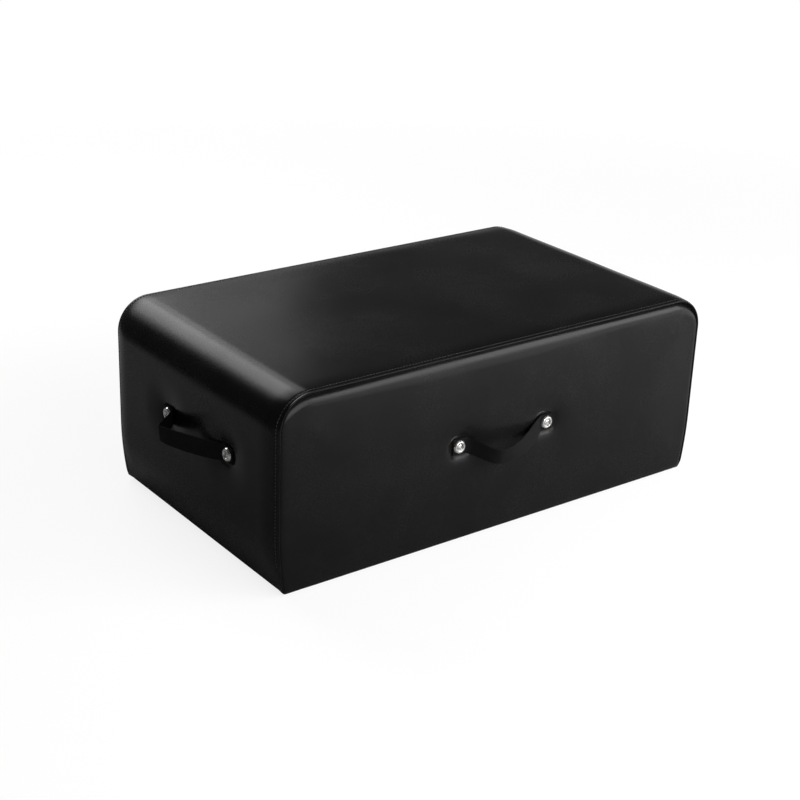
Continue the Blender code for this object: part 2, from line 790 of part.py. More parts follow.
def make_strap_tab(name, side, degrees, face, material):
    """The clamped end of a strap: square-cut tail, screw hole, and the stretch up to the hinge."""
    tail = side * (SCREW_SPACING / 2 + WEBBING_TAIL)
    flat_end = side * STRAP_LIFT
    hinge = hinge_ends()[(side + 1) // 2] + side * CLEARANCE
    sheet = Sheet()
    positions = [tail] + spread(flat_end, hinge, STRAP_STEPS // 3)
    if side > 0:
        positions.reverse()
    lower, upper = strap_rows(sheet, positions, degrees, face)
    if side > 0:
        flat_lower, flat_upper = lower[-2:], upper[-2:]
        sheet.strip(lower[:-1], upper[:-1])
    else:
        flat_lower, flat_upper = lower[:2], upper[:2]
        sheet.strip(lower[1:], upper[1:])
    clamp = [flat_lower[0], flat_lower[1], flat_upper[1], flat_upper[0]]
    flat = [(sheet.outer[corner][0], sheet.outer[corner][2]) for corner in clamp]
    hole_flat = circle(screw_centres(degrees)[(side + 1) // 2], SCREW_HOLE_RADIUS)
    out = face + TAB_OUT
    half = WEBBING_THICKNESS / 2
    hole = [sheet.add((u, out + half, v), (u, out - half, v)) for u, v in hole_flat]
    sheet.fill([clamp, hole], [flat, hole_flat])
    turn_sheet(sheet, degrees)
    return sheet.to_object(name, material, smooth=True)


def make_strap_loop(name, degrees, face, material):
    """The free part of a strap, with its origin on the line that it swings about."""
    left, right = hinge_ends()
    sheet = Sheet()
    steep = spread(left, STRAP_PEAK_OFFSET, STRAP_STEPS // 2)
    long_side = spread(STRAP_PEAK_OFFSET, right, STRAP_STEPS // 2)
    lower, upper = strap_rows(sheet, steep + long_side[1:], degrees, face)
    sheet.strip(lower, upper)
    turn_sheet(sheet, degrees)
    _, share = hinge_share()
    middle, height = HANDLE_PLACES[degrees]
    hinge = from_face(degrees, middle, face + HINGE_DISTANCE, height - STRAP_DROOP * share)
    loop = sheet.to_object(name, material, smooth=True)
    for vert in loop.data.vertices:
        vert.co = [place - offset for place, offset in zip(vert.co, hinge)]
    loop.location = hinge
    return loop


def make_handles(webbing, washer_steel, screw_steel):
    washer = washer_mesh()
    for name, degrees, face in SIDES:
        foam = SIDE_FOAM_THICKNESS if degrees % 180 == 0 else END_FOAM_THICKNESS
        screw = handle_screw_mesh(foam)
        make_strap_loop(name + "_handle_strap", degrees, face, webbing)
        for side, hand, centre in zip((-1, 1), ("left", "right"), screw_centres(degrees)):
            make_strap_tab(f"{name}_strap_tab_{hand}", side, degrees, face, webbing)
            seat = face - DIMPLE_DEPTH + WEBBING_THICKNESS + 2 * CLEARANCE
            place = from_face(degrees, centre[0], seat, centre[1])
            for kind, mesh, metal in (("washer", washer, washer_steel), ("screw", screw, screw_steel)):
                piece = add_object(f"{name}_handle_{kind}_{hand}", mesh, metal, smooth=True)
                piece.location = place
                piece.rotation_euler = (math.pi / 2, 0, math.radians(degrees))


def main():
    for item in list(bpy.data.objects):
        bpy.data.objects.remove(item, do_unlink=True)
    leather = make_material("black_leather", (0.022, 0.022, 0.023), 0.42)
    foam = make_material("grey_foam", (0.55, 0.56, 0.55), 0.95)
    plywood = make_material("plywood", (0.62, 0.45, 0.28), 0.7)
    lining = make_material("black_lining", (0.03, 0.03, 0.03), 0.95)
    rubber = make_material("black_rubber", (0.025, 0.025, 0.025), 0.8)
    webbing = make_material("black_webbing", (0.02, 0.02, 0.021), 0.75)
    nickel = make_material("nickel_washer", (0.78, 0.77, 0.74), 0.25, 1.0)
    steel = make_material("steel_screw", (0.7, 0.7, 0.7), 0.3, 1.0)
    make_carcass(plywood)
    make_foams(foam)
    make_cover_band(leather)
    make_cover_panel("front_cover_panel", 0, leather)
    make_cover_panel("back_cover_panel", 180, leather)
    make_dust_cover(lining)
    make_feet(rubber, steel)
    make_handles(webbing, nickel, steel)


main()
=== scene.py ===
# Pilates sitting box in black upholstery, dressed around its solid model.
import math

import bmesh
import bpy
import numpy as np
from mathutils import Matrix, Vector


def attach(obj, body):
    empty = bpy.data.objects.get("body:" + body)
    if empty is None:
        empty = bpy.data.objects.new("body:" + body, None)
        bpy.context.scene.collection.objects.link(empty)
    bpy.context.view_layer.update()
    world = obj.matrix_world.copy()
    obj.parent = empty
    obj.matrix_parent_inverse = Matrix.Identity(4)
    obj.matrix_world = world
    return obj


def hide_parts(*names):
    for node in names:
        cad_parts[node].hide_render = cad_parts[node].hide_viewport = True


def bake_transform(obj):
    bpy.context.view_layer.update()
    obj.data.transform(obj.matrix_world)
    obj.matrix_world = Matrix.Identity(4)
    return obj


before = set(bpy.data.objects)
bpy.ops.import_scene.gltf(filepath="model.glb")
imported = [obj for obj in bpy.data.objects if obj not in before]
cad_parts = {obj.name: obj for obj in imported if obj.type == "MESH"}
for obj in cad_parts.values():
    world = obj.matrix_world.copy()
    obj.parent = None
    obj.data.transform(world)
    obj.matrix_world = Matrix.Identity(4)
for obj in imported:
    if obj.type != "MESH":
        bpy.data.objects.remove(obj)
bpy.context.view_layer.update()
scene = bpy.context.scene
join = np.concatenate
print("frame loaded:", len(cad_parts), "nodes")

# Sizes of the box that every piece shares, in metres
box = {
    "halfLength": 0.4,
    "halfDepth": 0.23,
    "height": 0.302,
    "cornerRadius": 0.055,
    "tuck": 0.015,  # how far the ends draw in at the foot
    "tuckHeight": 0.105,
    "hemBottom": 0.0058,
    "foldRadius": 0.007,  # round of the cover's lower edge
    "coverThickness": 0.0012,
    "coverWall": 0.0009,  # the leather alone
    "hem": 0.03,  # width turned in under the box
    "clearance": 0.0003,
}

# The four sides: name, turn about Z, distance of the face, the handle's middle along and up the face
sides = [
    ("front", 0, box["halfDepth"], -0.003, 0.159),
    ("right", 90, box["halfLength"], -0.014, 0.173),
    ("back", 180, box["halfDepth"], 0.003, 0.159),
    ("left", 270, box["halfLength"], 0.014, 0.173),
]
screwSpacing = 0.168


def stacked(*parts):
    # one array whose last axis holds the parts, each stretched to the same shape
    return np.stack(np.broadcast_arrays(*parts), axis=-1)


def onSide(degrees, u, out, z):
    # a side's own place turned into the frame: u runs right as seen from outside, out away from the box
    c, s = math.cos(math.radians(degrees)), math.sin(math.radians(degrees))
    return stacked(u * c + out * s, u * s - out * c, z)


def gridFaces(rows, cols, closeRows=False, closeCols=False):
    # quads between neighbouring rows and columns of a grid of points
    i = np.arange(rows if closeRows else rows - 1)[:, None]
    j = np.arange(cols if closeCols else cols - 1)
    nextI, nextJ = (i + 1) % rows, (j + 1) % cols
    return stacked(i * cols + j, i * cols + nextJ, nextI * cols + nextJ, nextI * cols + j).reshape(-1, 4)


def borderOf(index):
    # the outer points of a grid, once round
    return join([index[0, :-1], index[:-1, -1], index[-1, :0:-1], index[:0:-1, 0]])


def addObject(name, data):
    thing = bpy.data.objects.new(name, data)
    scene.collection.objects.link(thing)
    return thing


def makePiece(name, points, faces, finish, awayFrom=None, uv=None, sharpAngle=None):
    # puts points and faces into a mesh; with awayFrom, its faces look away from that place
    points = np.asarray(points, dtype=float).reshape(-1, 3)
    if awayFrom is not None:
        a, b, c = (points[faces[:, k]] for k in range(3))
        outward = points[faces].mean(axis=1) - awayFrom
        if (np.cross(b - a, c - a) * outward).sum() < 0:
            faces = faces[:, ::-1]
    mesh = bpy.data.meshes.new(name)
    mesh.from_pydata(points, [], faces if isinstance(faces, list) else faces.tolist())
    mesh.validate()
    if uv is not None:
        layer = mesh.uv_layers.new(name="cloth")
        corner = np.empty(len(mesh.loops), dtype=np.int32)
        mesh.loops.foreach_get("vertex_index", corner)
        layer.data.foreach_set("uv", np.asarray(uv, dtype=np.float32).reshape(-1, 2)[corner].ravel())
    mesh.shade_smooth()
    if sharpAngle:
        mesh.set_sharp_from_angle(angle=math.radians(sharpAngle))
    mesh.materials.append(finishes[finish])
    piece = addObject(name, mesh)
    return piece


def mergePoints(piece):
    # joins doubled points and turns the faces outwards
    body = bmesh.new()
    body.from_mesh(piece.data)
    bmesh.ops.remove_doubles(body, verts=body.verts[:], dist=1e-6)
    bmesh.ops.recalc_face_normals(body, faces=body.faces[:])
    body.to_mesh(piece.data)
    body.free()


def addWall(piece, thickness):
    # gives a sheet its thickness, inwards
    wall = piece.modifiers.new("thickness", "SOLIDIFY")
    wall.thickness, wall.offset, wall.use_even_offset = thickness, -1, False


def smooth(t):
    # 0 to 1 with level ends
    t = np.clip(t, 0, 1)
    return t * t * (3 - 2 * t)


def graded(breaks):
    # positions along a line: breaks is a list of (end, step), each stretch cut evenly
    values = [np.array([breaks[0][0]])]
    for (start, _), (end, step) in zip(breaks, breaks[1:]):
        count = max(1, int(round(abs(end - start) / step)))
        values.append(np.linspace(start, end, count + 1)[1:])
    return join(values)


def newMaterial(name):
    material = bpy.data.materials.new(name)
    material.use_nodes = True
    tree = material.node_tree
    return material, tree, tree.nodes["Principled BSDF"]


def feed(socket, value):
    # links another node's output, or sets a number or colour
    if isinstance(value, bpy.types.NodeSocket):
        socket.id_data.links.new(value, socket)
    else:
        socket.default_value = value


def fill(node, **inputs):
    for key, value in inputs.items():
        feed(node.inputs[key.replace("_", " ")], value)
    return node


def addNode(tree, kind, **inputs):
    return fill(tree.nodes.new("ShaderNode" + kind), **inputs)


def textureSpace(tree, scale=(1, 1, 1), useUv=False):
    place = addNode(tree, "TexCoord").outputs["UV" if useUv else "Object"]
    return addNode(tree, "Mapping", Vector=place, Scale=scale).outputs["Vector"]


def noise(space, scale, detail, roughness):
    return addNode(space.id_data, "TexNoise", Vector=space, Scale=scale, Detail=detail,
                   Roughness=roughness).outputs["Fac"]


def spreadTo(value, low, high, start=0.3, end=0.7):
    # carries a 0 to 1 pattern over to a range of values
    return addNode(value.id_data, "MapRange", Value=value, From_Min=start, From_Max=end,
                   To_Min=low, To_Max=high).outputs["Result"]


def colourRamp(value, stops):
    node = addNode(value.id_data, "ValToRGB", Fac=value)
    ramp = node.color_ramp
    for element, (position, colour) in zip(ramp.elements, (stops[0], stops[-1])):
        element.position, element.color = position, (*colour, 1)
    for position, colour in stops[1:-1]:
        ramp.elements.new(position).color = (*colour, 1)
    return node.outputs["Color"]


def addBump(shader, layers):
    # stacks bumps, each (height, strength, depth in metres), the first one nearest the surface
    below = {}
    for height, strength, depth in layers:
        bump = addNode(shader.id_data, "Bump", Strength=strength, Distance=depth, Height=height, **below)
        below = {"Normal": bump.outputs["Normal"]}
    fill(shader, **below)


def combine(tree, operation, *values):
    node = addNode(tree, "Math")
    node.operation = operation
    for socket, value in zip(node.inputs, values):
        feed(socket, value)
    return node.outputs["Value"]


leather = {
    "dark": (0.0042, 0.0042, 0.0044),
    "light": (0.0058, 0.0058, 0.006),
    "roughLow": 0.22,
    "roughHigh": 0.29,
    "grainScale": 1150.0,  # cells per metre of the pressed grain
    "specular": 0.105,
}


def makeLeather():
    material, tree, shader = newMaterial("blackLeather")
    space = textureSpace(tree)
    cloudy, fine = noise(space, 9.0, 4.0, 0.55), noise(space, 420.0, 3.0, 0.6)
    pores = noise(space, 2600.0, 2.0, 0.5)
    grain = addNode(tree, "TexVoronoi", Vector=space, Scale=leather["grainScale"])
    grain.feature = "DISTANCE_TO_EDGE"
    base = spreadTo(cloudy, leather["roughLow"], leather["roughHigh"])
    fill(shader, Base_Color=colourRamp(cloudy, [(0.35, leather["dark"]), (0.65, leather["light"])]),
         Roughness=combine(tree, "ADD", base, spreadTo(fine, -0.03, 0.03)),
         Specular_IOR_Level=leather["specular"])
    addBump(shader, [(grain.outputs["Distance"], 0.1, 0.0002), (pores, 0.06, 0.0001), (fine, 0.05, 0.0003)])
    return material


def makeWebbing():
    # UV: metres along the strap and across it; the weft shows as close ribs across the strap
    material, tree, shader = newMaterial("blackWebbing")
    parts = addNode(tree, "SeparateXYZ", Vector=textureSpace(tree, useUv=True)).outputs
    along, across = (combine(tree, "SINE", combine(tree, "MULTIPLY", parts[axis], 2 * math.pi / pitch))
                     for axis, pitch in (("X", 0.0016), ("Y", 0.0013)))
    weave = combine(tree, "MULTIPLY_ADD", along, 0.5, 0.5)
    warp = combine(tree, "MULTIPLY", across, along)
    height = combine(tree, "ADD", weave, combine(tree, "MULTIPLY", warp, 0.35))
    fuzz = noise(textureSpace(tree), 900.0, 3.0, 0.6)
    # painted shade: the colour follows the weave's height, darkest in its valleys
    valleyShadeColours = [(0.0, (0.0016, 0.0016, 0.0018)), (0.75, (0.0078, 0.0078, 0.0082))]
    fill(shader, Base_Color=colourRamp(height, valleyShadeColours), Roughness=spreadTo(fuzz, 0.55, 0.75),
         Specular_IOR_Level=0.05)
    addBump(shader, [(height, 0.6, 0.00025), (fuzz, 0.25, 0.0002)])
    return material


def makeMetal(name, colour, low, high):
    material, tree, shader = newMaterial(name)
    cloudy = noise(textureSpace(tree), 160.0, 4.0, 0.6)
    streaks = noise(textureSpace(tree, (1, 1, 18)), 700.0, 2.0, 0.5)
    dark = tuple(0.78 * part for part in colour)
    rough = combine(tree, "ADD", spreadTo(cloudy, low, high), spreadTo(streaks, -0.04, 0.04))
    shade = colourRamp(cloudy, [(0.3, dark), (0.6, colour)])
    fill(shader, Base_Color=shade, Roughness=rough, Metallic=1.0)
    addBump(shader, [(streaks, 0.1, 0.00005)])
    return material


def makePlain(name, dark, light, scale, roughLow, roughHigh, bump, bumpScale, stretch=(1, 1, 1), specular=0.5):
    # a mottled matte finish for rubber, lining, foam and thread
    material, tree, shader = newMaterial(name)
    space = textureSpace(tree, stretch)
    cloudy, fine = noise(space, scale, 4.0, 0.6), noise(space, bumpScale, 3.0, 0.65)
    fill(shader, Base_Color=colourRamp(cloudy, [(0.3, dark), (0.7, light)]),
         Roughness=spreadTo(fine, roughLow, roughHigh), Specular_IOR_Level=specular)
    addBump(shader, [(fine, bump, 0.0004)])
    return material


def makePlywood():
    # long grain on the faces and thin bands of veneer through the thickness
    material, tree, shader = newMaterial("plywood")
    grain = noise(textureSpace(tree, (2.0, 22.0, 22.0)), 14.0, 6.0, 0.6)
    veneer = addNode(tree, "TexWave", Vector=textureSpace(tree), Scale=42.0, Distortion=0.6)
    veneer.wave_type, veneer.bands_direction = "BANDS", "DIAGONAL"
    bands = combine(tree, "MULTIPLY", veneer.outputs["Fac"], 0.2)
    pattern = combine(tree, "ADD", combine(tree, "MULTIPLY", grain, 0.8), bands)
    stops = [(0.25, (0.36, 0.21, 0.1)), (0.5, (0.6, 0.42, 0.24)), (0.75, (0.74, 0.57, 0.36))]
    fill(shader, Base_Color=colourRamp(pattern, stops), Roughness=spreadTo(grain, 0.55, 0.75))
    addBump(shader, [(grain, 0.2, 0.0004)])
    return material


finishes = {
    "leather": makeLeather(),
    "webbing": makeWebbing(),
    "washer": makeMetal("nickelPlate", (0.66, 0.65, 0.63), 0.2, 0.3),
    "screw": makeMetal("zincPlate", (0.62, 0.62, 0.62), 0.22, 0.34),
    "staple": makeMetal("stapleWire", (0.55, 0.55, 0.54), 0.3, 0.45),
    "thread": makePlain("sewingThread", (0.017, 0.017, 0.018), (0.029, 0.029, 0.03), 500.0, 0.35, 0.5, 0.3,
                        4000.0, specular=0.15),
    "rubber": makePlain("footRubber", (0.016, 0.016, 0.016), (0.028, 0.028, 0.028), 60.0, 0.6, 0.8, 0.25, 1500.0),
    "lining": makePlain("underLining", (0.01, 0.01, 0.011), (0.028, 0.028, 0.029), 900.0, 0.8, 0.95, 0.7,
                        1600.0, stretch=(1, 1, 0.2)),
    "foam": makePlain("greyFoam", (0.36, 0.37, 0.37), (0.52, 0.53, 0.53), 700.0, 0.85, 0.95, 0.8, 1100.0),
    "plywood": makePlywood(),
}
print("materials made:", len(finishes))


# Sewn edges of the cover and the hollows that the handles press into it
seam = {
    "y": 0.2268,  # where the band's folded edge stands
    "foldRadius": 0.0011,
    "endInset": 0.0034,  # how far the seam lies inside the ends
    "footInset": 0.0135,  # the same at the floor, measured from the full length
    "topInset": -0.0007,
    "cornerRadius": 0.052,
    "endCrown": 0.036,  # width over which the faces round towards the seam
    "topCrown": 0.031,
    "swell": 0.0028,  # how far the padded top stands out between the seams
    "endSwell": 0.0038,  # the same on the ends, whose padding is thicker
    "stitches": (0.0004, 0.0057, 0.0018),  # depth, distance from the seam and width of the top-stitching
    "groove": (0.00048, 0.002, 0.0013),  # the same of the band pressed in behind its folded edge
    "frontEase": 0.004,  # share by which the front's foot draws in less than the back's
    "ripple": 0.0001,
}
dimple = {
    "halfAlong": 0.0175,
    "inward": 0.0028,  # shift of each one towards the middle of its handle
    "halfUp": 0.0132,
    "corner": 0.0122,
    "depth": 0.003,
    "softness": 0.007,
    "bowl": (0.3, 0.02),  # share of the depth that falls off slowly on the long sides, and how wide
    "endBowl": (0.64, 0.025),  # the same on the ends
    "reach": 0.052,
    "pull": 0.00012,  # faint creases drawn to the screws
    "pullReach": 0.006,
}


def tuckShare(z):
    # 1 at the floor, 0 from the height up where the ends stand full
    return np.clip(1 - z / box["tuckHeight"], 0, 1)


def endReach(z):
    # half length of the box at a height, drawn in by a square law near the floor
    return box["halfLength"] - box["tuck"] * tuckShare(z) ** 2


def seamReach(z):
    # half length of the seam line on a long side at a height
    return box["halfLength"] - seam["endInset"] - (seam["footInset"] - seam["endInset"]) * tuckShare(z) ** 2


def easeFoot(points):
    # the foot draws in less at the front: x grows by a share that rises towards the floor as
    # (1 - z / tuckHeight)^1.2 and fades smoothly from the front to the back
    fade = smooth(0.5 - points[..., 1] / (2 * box["halfDepth"]))
    points[..., 0] *= 1 + seam["frontEase"] * tuckShare(points[..., 2]) ** 1.2 * fade
    return points


def dimpleDepth(u, z, middle, height, swell, onEnd=False):
    # depth pressed into a swelling face by the handle's two clamped ends: full inside a rounded
    # rectangle round each screw, then falling as 1 / (1 + (distance / softness)^2)^1.6 for the steep
    # bank and as exp(-(distance / width)^2) for the wide bowl round it
    total = np.zeros(np.broadcast(u, z).shape)
    bowl, width = dimple["endBowl" if onEnd else "bowl"]
    for side in (-1, 1):
        centre, corner = middle + side * (screwSpacing / 2 - dimple["inward"]), dimple["corner"]
        du = np.maximum(np.abs(u - centre) - dimple["halfAlong"] + corner, 0)
        dz = np.maximum(np.abs(z - height) - dimple["halfUp"] + corner, 0)
        distance = np.maximum(np.hypot(du, dz) - corner, 0)
        bank = (1 - bowl) / (1 + (distance / dimple["softness"]) ** 2) ** 1.6
        fall = (dimple["depth"] + swell) * (bank + bowl * np.exp(-(distance / width) ** 2))
        fall *= smooth((dimple["reach"] - distance) / 0.02)
        angle = np.arctan2(z - height, u - middle - side * screwSpacing / 2)
        near = distance / dimple["pullReach"]
        crease = dimple["pull"] * np.cos(5 * angle + 1.3 * side + 0.7) * near * np.exp(-near)
        total = np.maximum(total, fall) + crease
    return total


def ripple(x, y, z):
    # slow unevenness of stretched leather: a few long waves that never line up
    return seam["ripple"] * (np.sin(31 * x + 17 * y + 1.1) + np.sin(-19 * x + 37 * y + 23 * z + 0.4)
                             + np.sin(43 * x - 11 * y + 29 * z + 2.3))


def profileRows():
    # the section of the band, right half from its hem to the middle of the top, then mirrored:
    # face x and z, outward direction, seam line x and z, and the width of the rounding
    r, low, corner, seamCorner = box["foldRadius"], box["hemBottom"], box["cornerRadius"], seam["cornerRadius"]
    edge, top, centre = endReach(low + r), box["height"] - corner, box["halfLength"] - corner
    hemX = graded([(edge - box["hem"], 0), (edge - r, 0.006)])[:-1]
    zs = graded([(low + r, 0), (0.028, 0.003), (0.135, 0.006), (0.212, 0.0026), (top, 0.005)])[:-1]
    arc = np.radians(np.linspace(0, 90, 27))[:-1]
    topX = graded([(centre, 0), (centre - 0.05, 0.006), (0, 0.01)])
    hem, flat = np.ones(len(hemX)), np.ones(len(topX))
    lean = np.arctan(2 * box["tuck"] / box["tuckHeight"] * tuckShare(zs))
    fold = np.linspace(-math.pi / 2, -lean[0], 9)[:-1]
    x = join([hemX, edge - r + r * np.cos(fold), endReach(zs), centre + corner * np.cos(arc), topX])
    z = join([hem * low, low + r + r * np.sin(fold), zs, top + corner * np.sin(arc), flat * box["height"]])
    turn = join([hem * -math.pi / 2, fold, -lean, arc, flat * math.pi / 2])
    # the seam line keeps to the hem and its fold, then runs inside the face
    seamTop, first = box["height"] - seam["topInset"], len(hemX) + len(fold)
    seamX, seamZ = box["halfLength"] - seam["endInset"] - seamCorner, seamTop - seamCorner
    zSide = low + r + (zs - low - r) * (seamZ - low - r) / (top - low - r)
    sx = join([x[:first], seamReach(zSide), seamX + seamCorner * np.cos(arc), topX * seamX / centre])
    sz = join([z[:first], zSide, seamZ + seamCorner * np.sin(arc), flat * seamTop])
    crown = seam["topCrown"] + (seam["endCrown"] - seam["topCrown"]) * np.clip(np.cos(turn), 0, 1) ** 1.5
    # the faces stand out by the swell, which fades to nothing at the foot
    swell = seam["swell"] + (seam["endSwell"] - seam["swell"]) * np.clip(np.cos(turn), 0, 1) ** 2
    swell = swell * smooth((z - 0.02) / 0.06)
    nx, nz = np.cos(turn), np.sin(turn)
    rows = stacked(x + swell * nx, z + swell * nz, nx, nz, sx, sz, crown)
    left = rows[:-1][::-1].copy()
    left[:, [0, 2, 4]] *= -1
    return join([rows, left])


def bandSurface(rows, y, sink=0.0, fine=True):
    # places on the band: the face profile moves to the seam line as (1 - d / crown)^2, with d the
    # distance from the seam, then sinks for the stitch line, the groove behind the edge and the dimples
    x, z, nx, nz, sx, sz, crown = rows.T[..., None]
    y = np.asarray(y)
    d = np.maximum(seam["y"] - np.abs(y), 0)
    share = np.clip(1 - d / crown, 0, 1) ** 2
    px, pz = x + (sx - x) * share, z + (sz - z) * share
    depth = np.zeros(np.broadcast(px, y).shape) + sink
    for name, degrees, face, middle, height in sides[1::2]:
        side = 1 if name == "right" else -1
        onEnd = (nx * side > 0.5) & (z > 0.05)
        depth += np.where(onEnd, dimpleDepth(side * y, pz, middle, height, seam["endSwell"], True), 0)
    if fine:
        away = smooth((z - 0.012) / 0.02)
        for sunk, line, width in (seam["stitches"], seam["groove"]):
            depth += sunk * np.exp(-((d - line) / width) ** 2) * away
        depth -= ripple(px, y, pz) * smooth(d / 0.03) * smooth((z - 0.02) / 0.03)
    return stacked(px - nx * depth, y, pz - nz * depth)


def roundScrews(middle):
    # steps along a face: close together near the two screws
    left, right, near = middle - screwSpacing / 2, middle + screwSpacing / 2, 0.034
    return [(left + near, 0.0026), (right - near, 0.0065), (right + near, 0.0026)], left - near


def bandColumns():
    # lines along the band, close together at the seams and round the end handles' dimples
    inner = [0.018, 0.015, 0.013, 0.0115, 0.0103, 0.0094, 0.0086, 0.0079, 0.0073, 0.0067, 0.0061, 0.0055,
             0.0048, 0.004, 0.0031, 0.0022, 0.0014, 0.0007, 0.0]
    edge = seam["y"] - np.array(inner)
    steps, first = roundScrews(sides[1][3])
    breaks = [(-edge[0], 0), (first, 0.0065), *steps, (edge[0], 0.0065)]
    return join([-edge[::-1], graded(breaks)[1:-1], edge])


def makeBand():
    rows = profileRows()
    face = bandSurface(rows, bandColumns())
    # the rolled edge: a fold of small radius that turns under and ends behind the panel's edge
    r = seam["foldRadius"]
    angles = np.radians([20, 42, 64, 86, 108, 130, 152, 172])
    outY = seam["y"] + join([r * np.sin(angles), [-0.0012, -0.004, -0.0068, -0.009]])
    drop = join([r * (1 - np.cos(angles)), [2 * r + 0.0002, 0.0042, 0.0068, 0.0096]])
    z, nx, nz, sx, sz = rows.T[1:6, :, None]
    away = smooth((z - 0.007) / 0.01)
    depth = drop * (0.15 + 0.85 * away)
    roll = stacked(sx - nx * depth, outY, sz - nz * depth * away)
    points = join([roll[:, ::-1] * [1, -1, 1], face, roll], axis=1)
    # the hem keeps inside the long sides' panels
    points[..., 1] *= 1 - 0.01 * (1 - smooth((points[..., 2] - 0.007) / 0.012))
    band = makePiece("coverBand", easeFoot(points), gridFaces(*points.shape[:2]), "leather",
                     awayFrom=(0, 0, 0.15))
    addWall(band, box["coverWall"])
    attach(band, "root")
    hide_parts("cover_band")
    return band, rows


coverBand, bandRows = makeBand()

panel = {
    "gap": 0.0072,  # from the top seam down to the panel's edge
    "sideGap": 0.003,  # the same along the upright seams
    "edgeDrop": 0.006,  # how far the panel's edge stands behind its face
    "puff": 0.0155,  # width over which it swells out to the face near the corners
    "puffMiddle": 0.0085,  # more of it round the middle of the long side
    "slowDrop": 0.0042,  # a last slow part of the swell
    "slowPuff": 0.055,
    "roundness": 0.94,  # 1 would stand square to the face at the edge
    "sideShare": 0.34,  # share of that drop and width along the upright seams
    "swell": 0.0038,
    "bottomPuff": 0.01,
    "bottomDrop": 0.0009,
    "lowerCorner": 0.0015,
    "roll": 0.003,  # round of the bottom edge
    "hemHalf": 0.3547,  # half length of the hem, between the ends' hems
}


# the top of the panel's edge, its corner (radius upwards and sideways, and centre) and its lowest line
edgeTop = box["height"] - seam["topInset"] - panel["gap"]
bendUp, bendWide = (seam["cornerRadius"] - panel[key] for key in ("gap", "sideGap"))
bendX, bendZ = box["halfLength"] - seam["endInset"] - seam["cornerRadius"], edgeTop - bendUp
panelFoot = box["hemBottom"] + panel["roll"]


def sideEdge(z):
    # half length of the panel at a height, over the straight side and the round corner
    r = panel["lowerCorner"]
    rounding = r * (1 - np.sqrt(1 - 0.95 * np.clip(1 - (z - panelFoot) / r, 0, 1) ** 2))
    straight = seamReach(np.minimum(z, bendZ)) - panel["sideGap"] - rounding
    bend = bendX + bendWide * np.sqrt(np.maximum(1 - (np.maximum(z - bendZ, 0) / bendUp) ** 2, 0))
    return np.where(z > bendZ, bend, straight)


def panelGrid(middle):
    # rows stretch to the side edges and columns to the top edge: u * side(z) / corner, and
    # z + b * (top(u) - corner) with b from 0 at the bottom to 1 at the corners
    cornerX, cornerZ = bendX + bendWide * math.sqrt(0.5), bendZ + bendUp * math.sqrt(0.5)
    steps, first = roundScrews(middle)
    u = graded([(-cornerX, 0), (-cornerX + 0.02, 0.001), (-cornerX + 0.05, 0.003), (first, 0.0075), *steps,
                (cornerX - 0.05, 0.0075), (cornerX - 0.02, 0.003), (cornerX, 0.001)])
    z = graded([(panelFoot, 0), (0.02, 0.0014), (0.124, 0.007), (0.194, 0.0026), (cornerZ - 0.022, 0.0055),
                (cornerZ, 0.001)])
    bend = np.maximum(1 - (np.maximum(np.abs(u) - bendX, 0) / bendWide) ** 2, 0)
    topZ = np.where(np.abs(u) > bendX, bendZ + bendUp * np.sqrt(bend), edgeTop)
    b = (z - panelFoot) / (cornerZ - panelFoot)
    return sideEdge(z)[:, None] * (u / cornerX), z[:, None] + b[:, None] * (topZ - cornerZ)


def panelDistance(u, z):
    # distance inwards from the sewn edge
    au = np.abs(u)
    toCorner = bendUp - np.hypot(np.maximum(au - bendX, 0) * bendUp / bendWide, np.maximum(z - bendZ, 0))
    beside = np.minimum(sideEdge(z) - au, np.where(au > bendX, 1.0, edgeTop - z))
    return np.where(z > bendZ, np.where(au > bendX, toCorner, edgeTop - z), beside)


def panelFall(u, z, middle, height):
    # how far the panel lies behind its flat face; near the sewn edge a round of an ellipse,
    # drop * (1 - sqrt(1 - k s^2)) / (1 - sqrt(1 - k)) with s = 1 - d / width, and a slow square part
    d = np.maximum(panelDistance(u, z), 0)
    k = panel["roundness"]
    # round the corner the edge's full depth comes in between the side and the top
    turn = np.arctan2(np.maximum(z - bendZ, 0), np.maximum(np.abs(u) - bendX, 0) + 1e-9)
    share = panel["sideShare"] + (1 - panel["sideShare"]) * smooth(turn / math.radians(70))
    width = (panel["puff"] + panel["puffMiddle"] * smooth(1.2 - np.abs(u + 0.05) / 0.26)) * (0.3 + 0.7 * share)
    s = np.clip(1 - d / width, 0, 1)
    fall = panel["edgeDrop"] * share * (1 - np.sqrt(1 - k * s ** 2)) / (1 - math.sqrt(1 - k))
    fall += panel["slowDrop"] * share * np.clip(1 - d / panel["slowPuff"], 0, 1) ** 2
    up = z - panelFoot
    fall += panel["bottomDrop"] * np.clip(1 - up / panel["bottomPuff"], 0, 1) ** 2
    fall -= panel["swell"] * smooth(np.minimum(d, up) / 0.1)
    fall -= ripple(u, 0.23, z) * smooth(d / 0.03) * smooth(up / 0.03)
    return fall + dimpleDepth(u, z, middle, height, panel["swell"])


def stripFaces(first, start, rows, closed):
    # faces from a row of points that stands already to the rows that follow it from start on
    index = join([first, start + np.arange(rows * len(first))])
    return index[gridFaces(rows + 1, len(first), closeCols=closed)][:, [0, 3, 2, 1]]


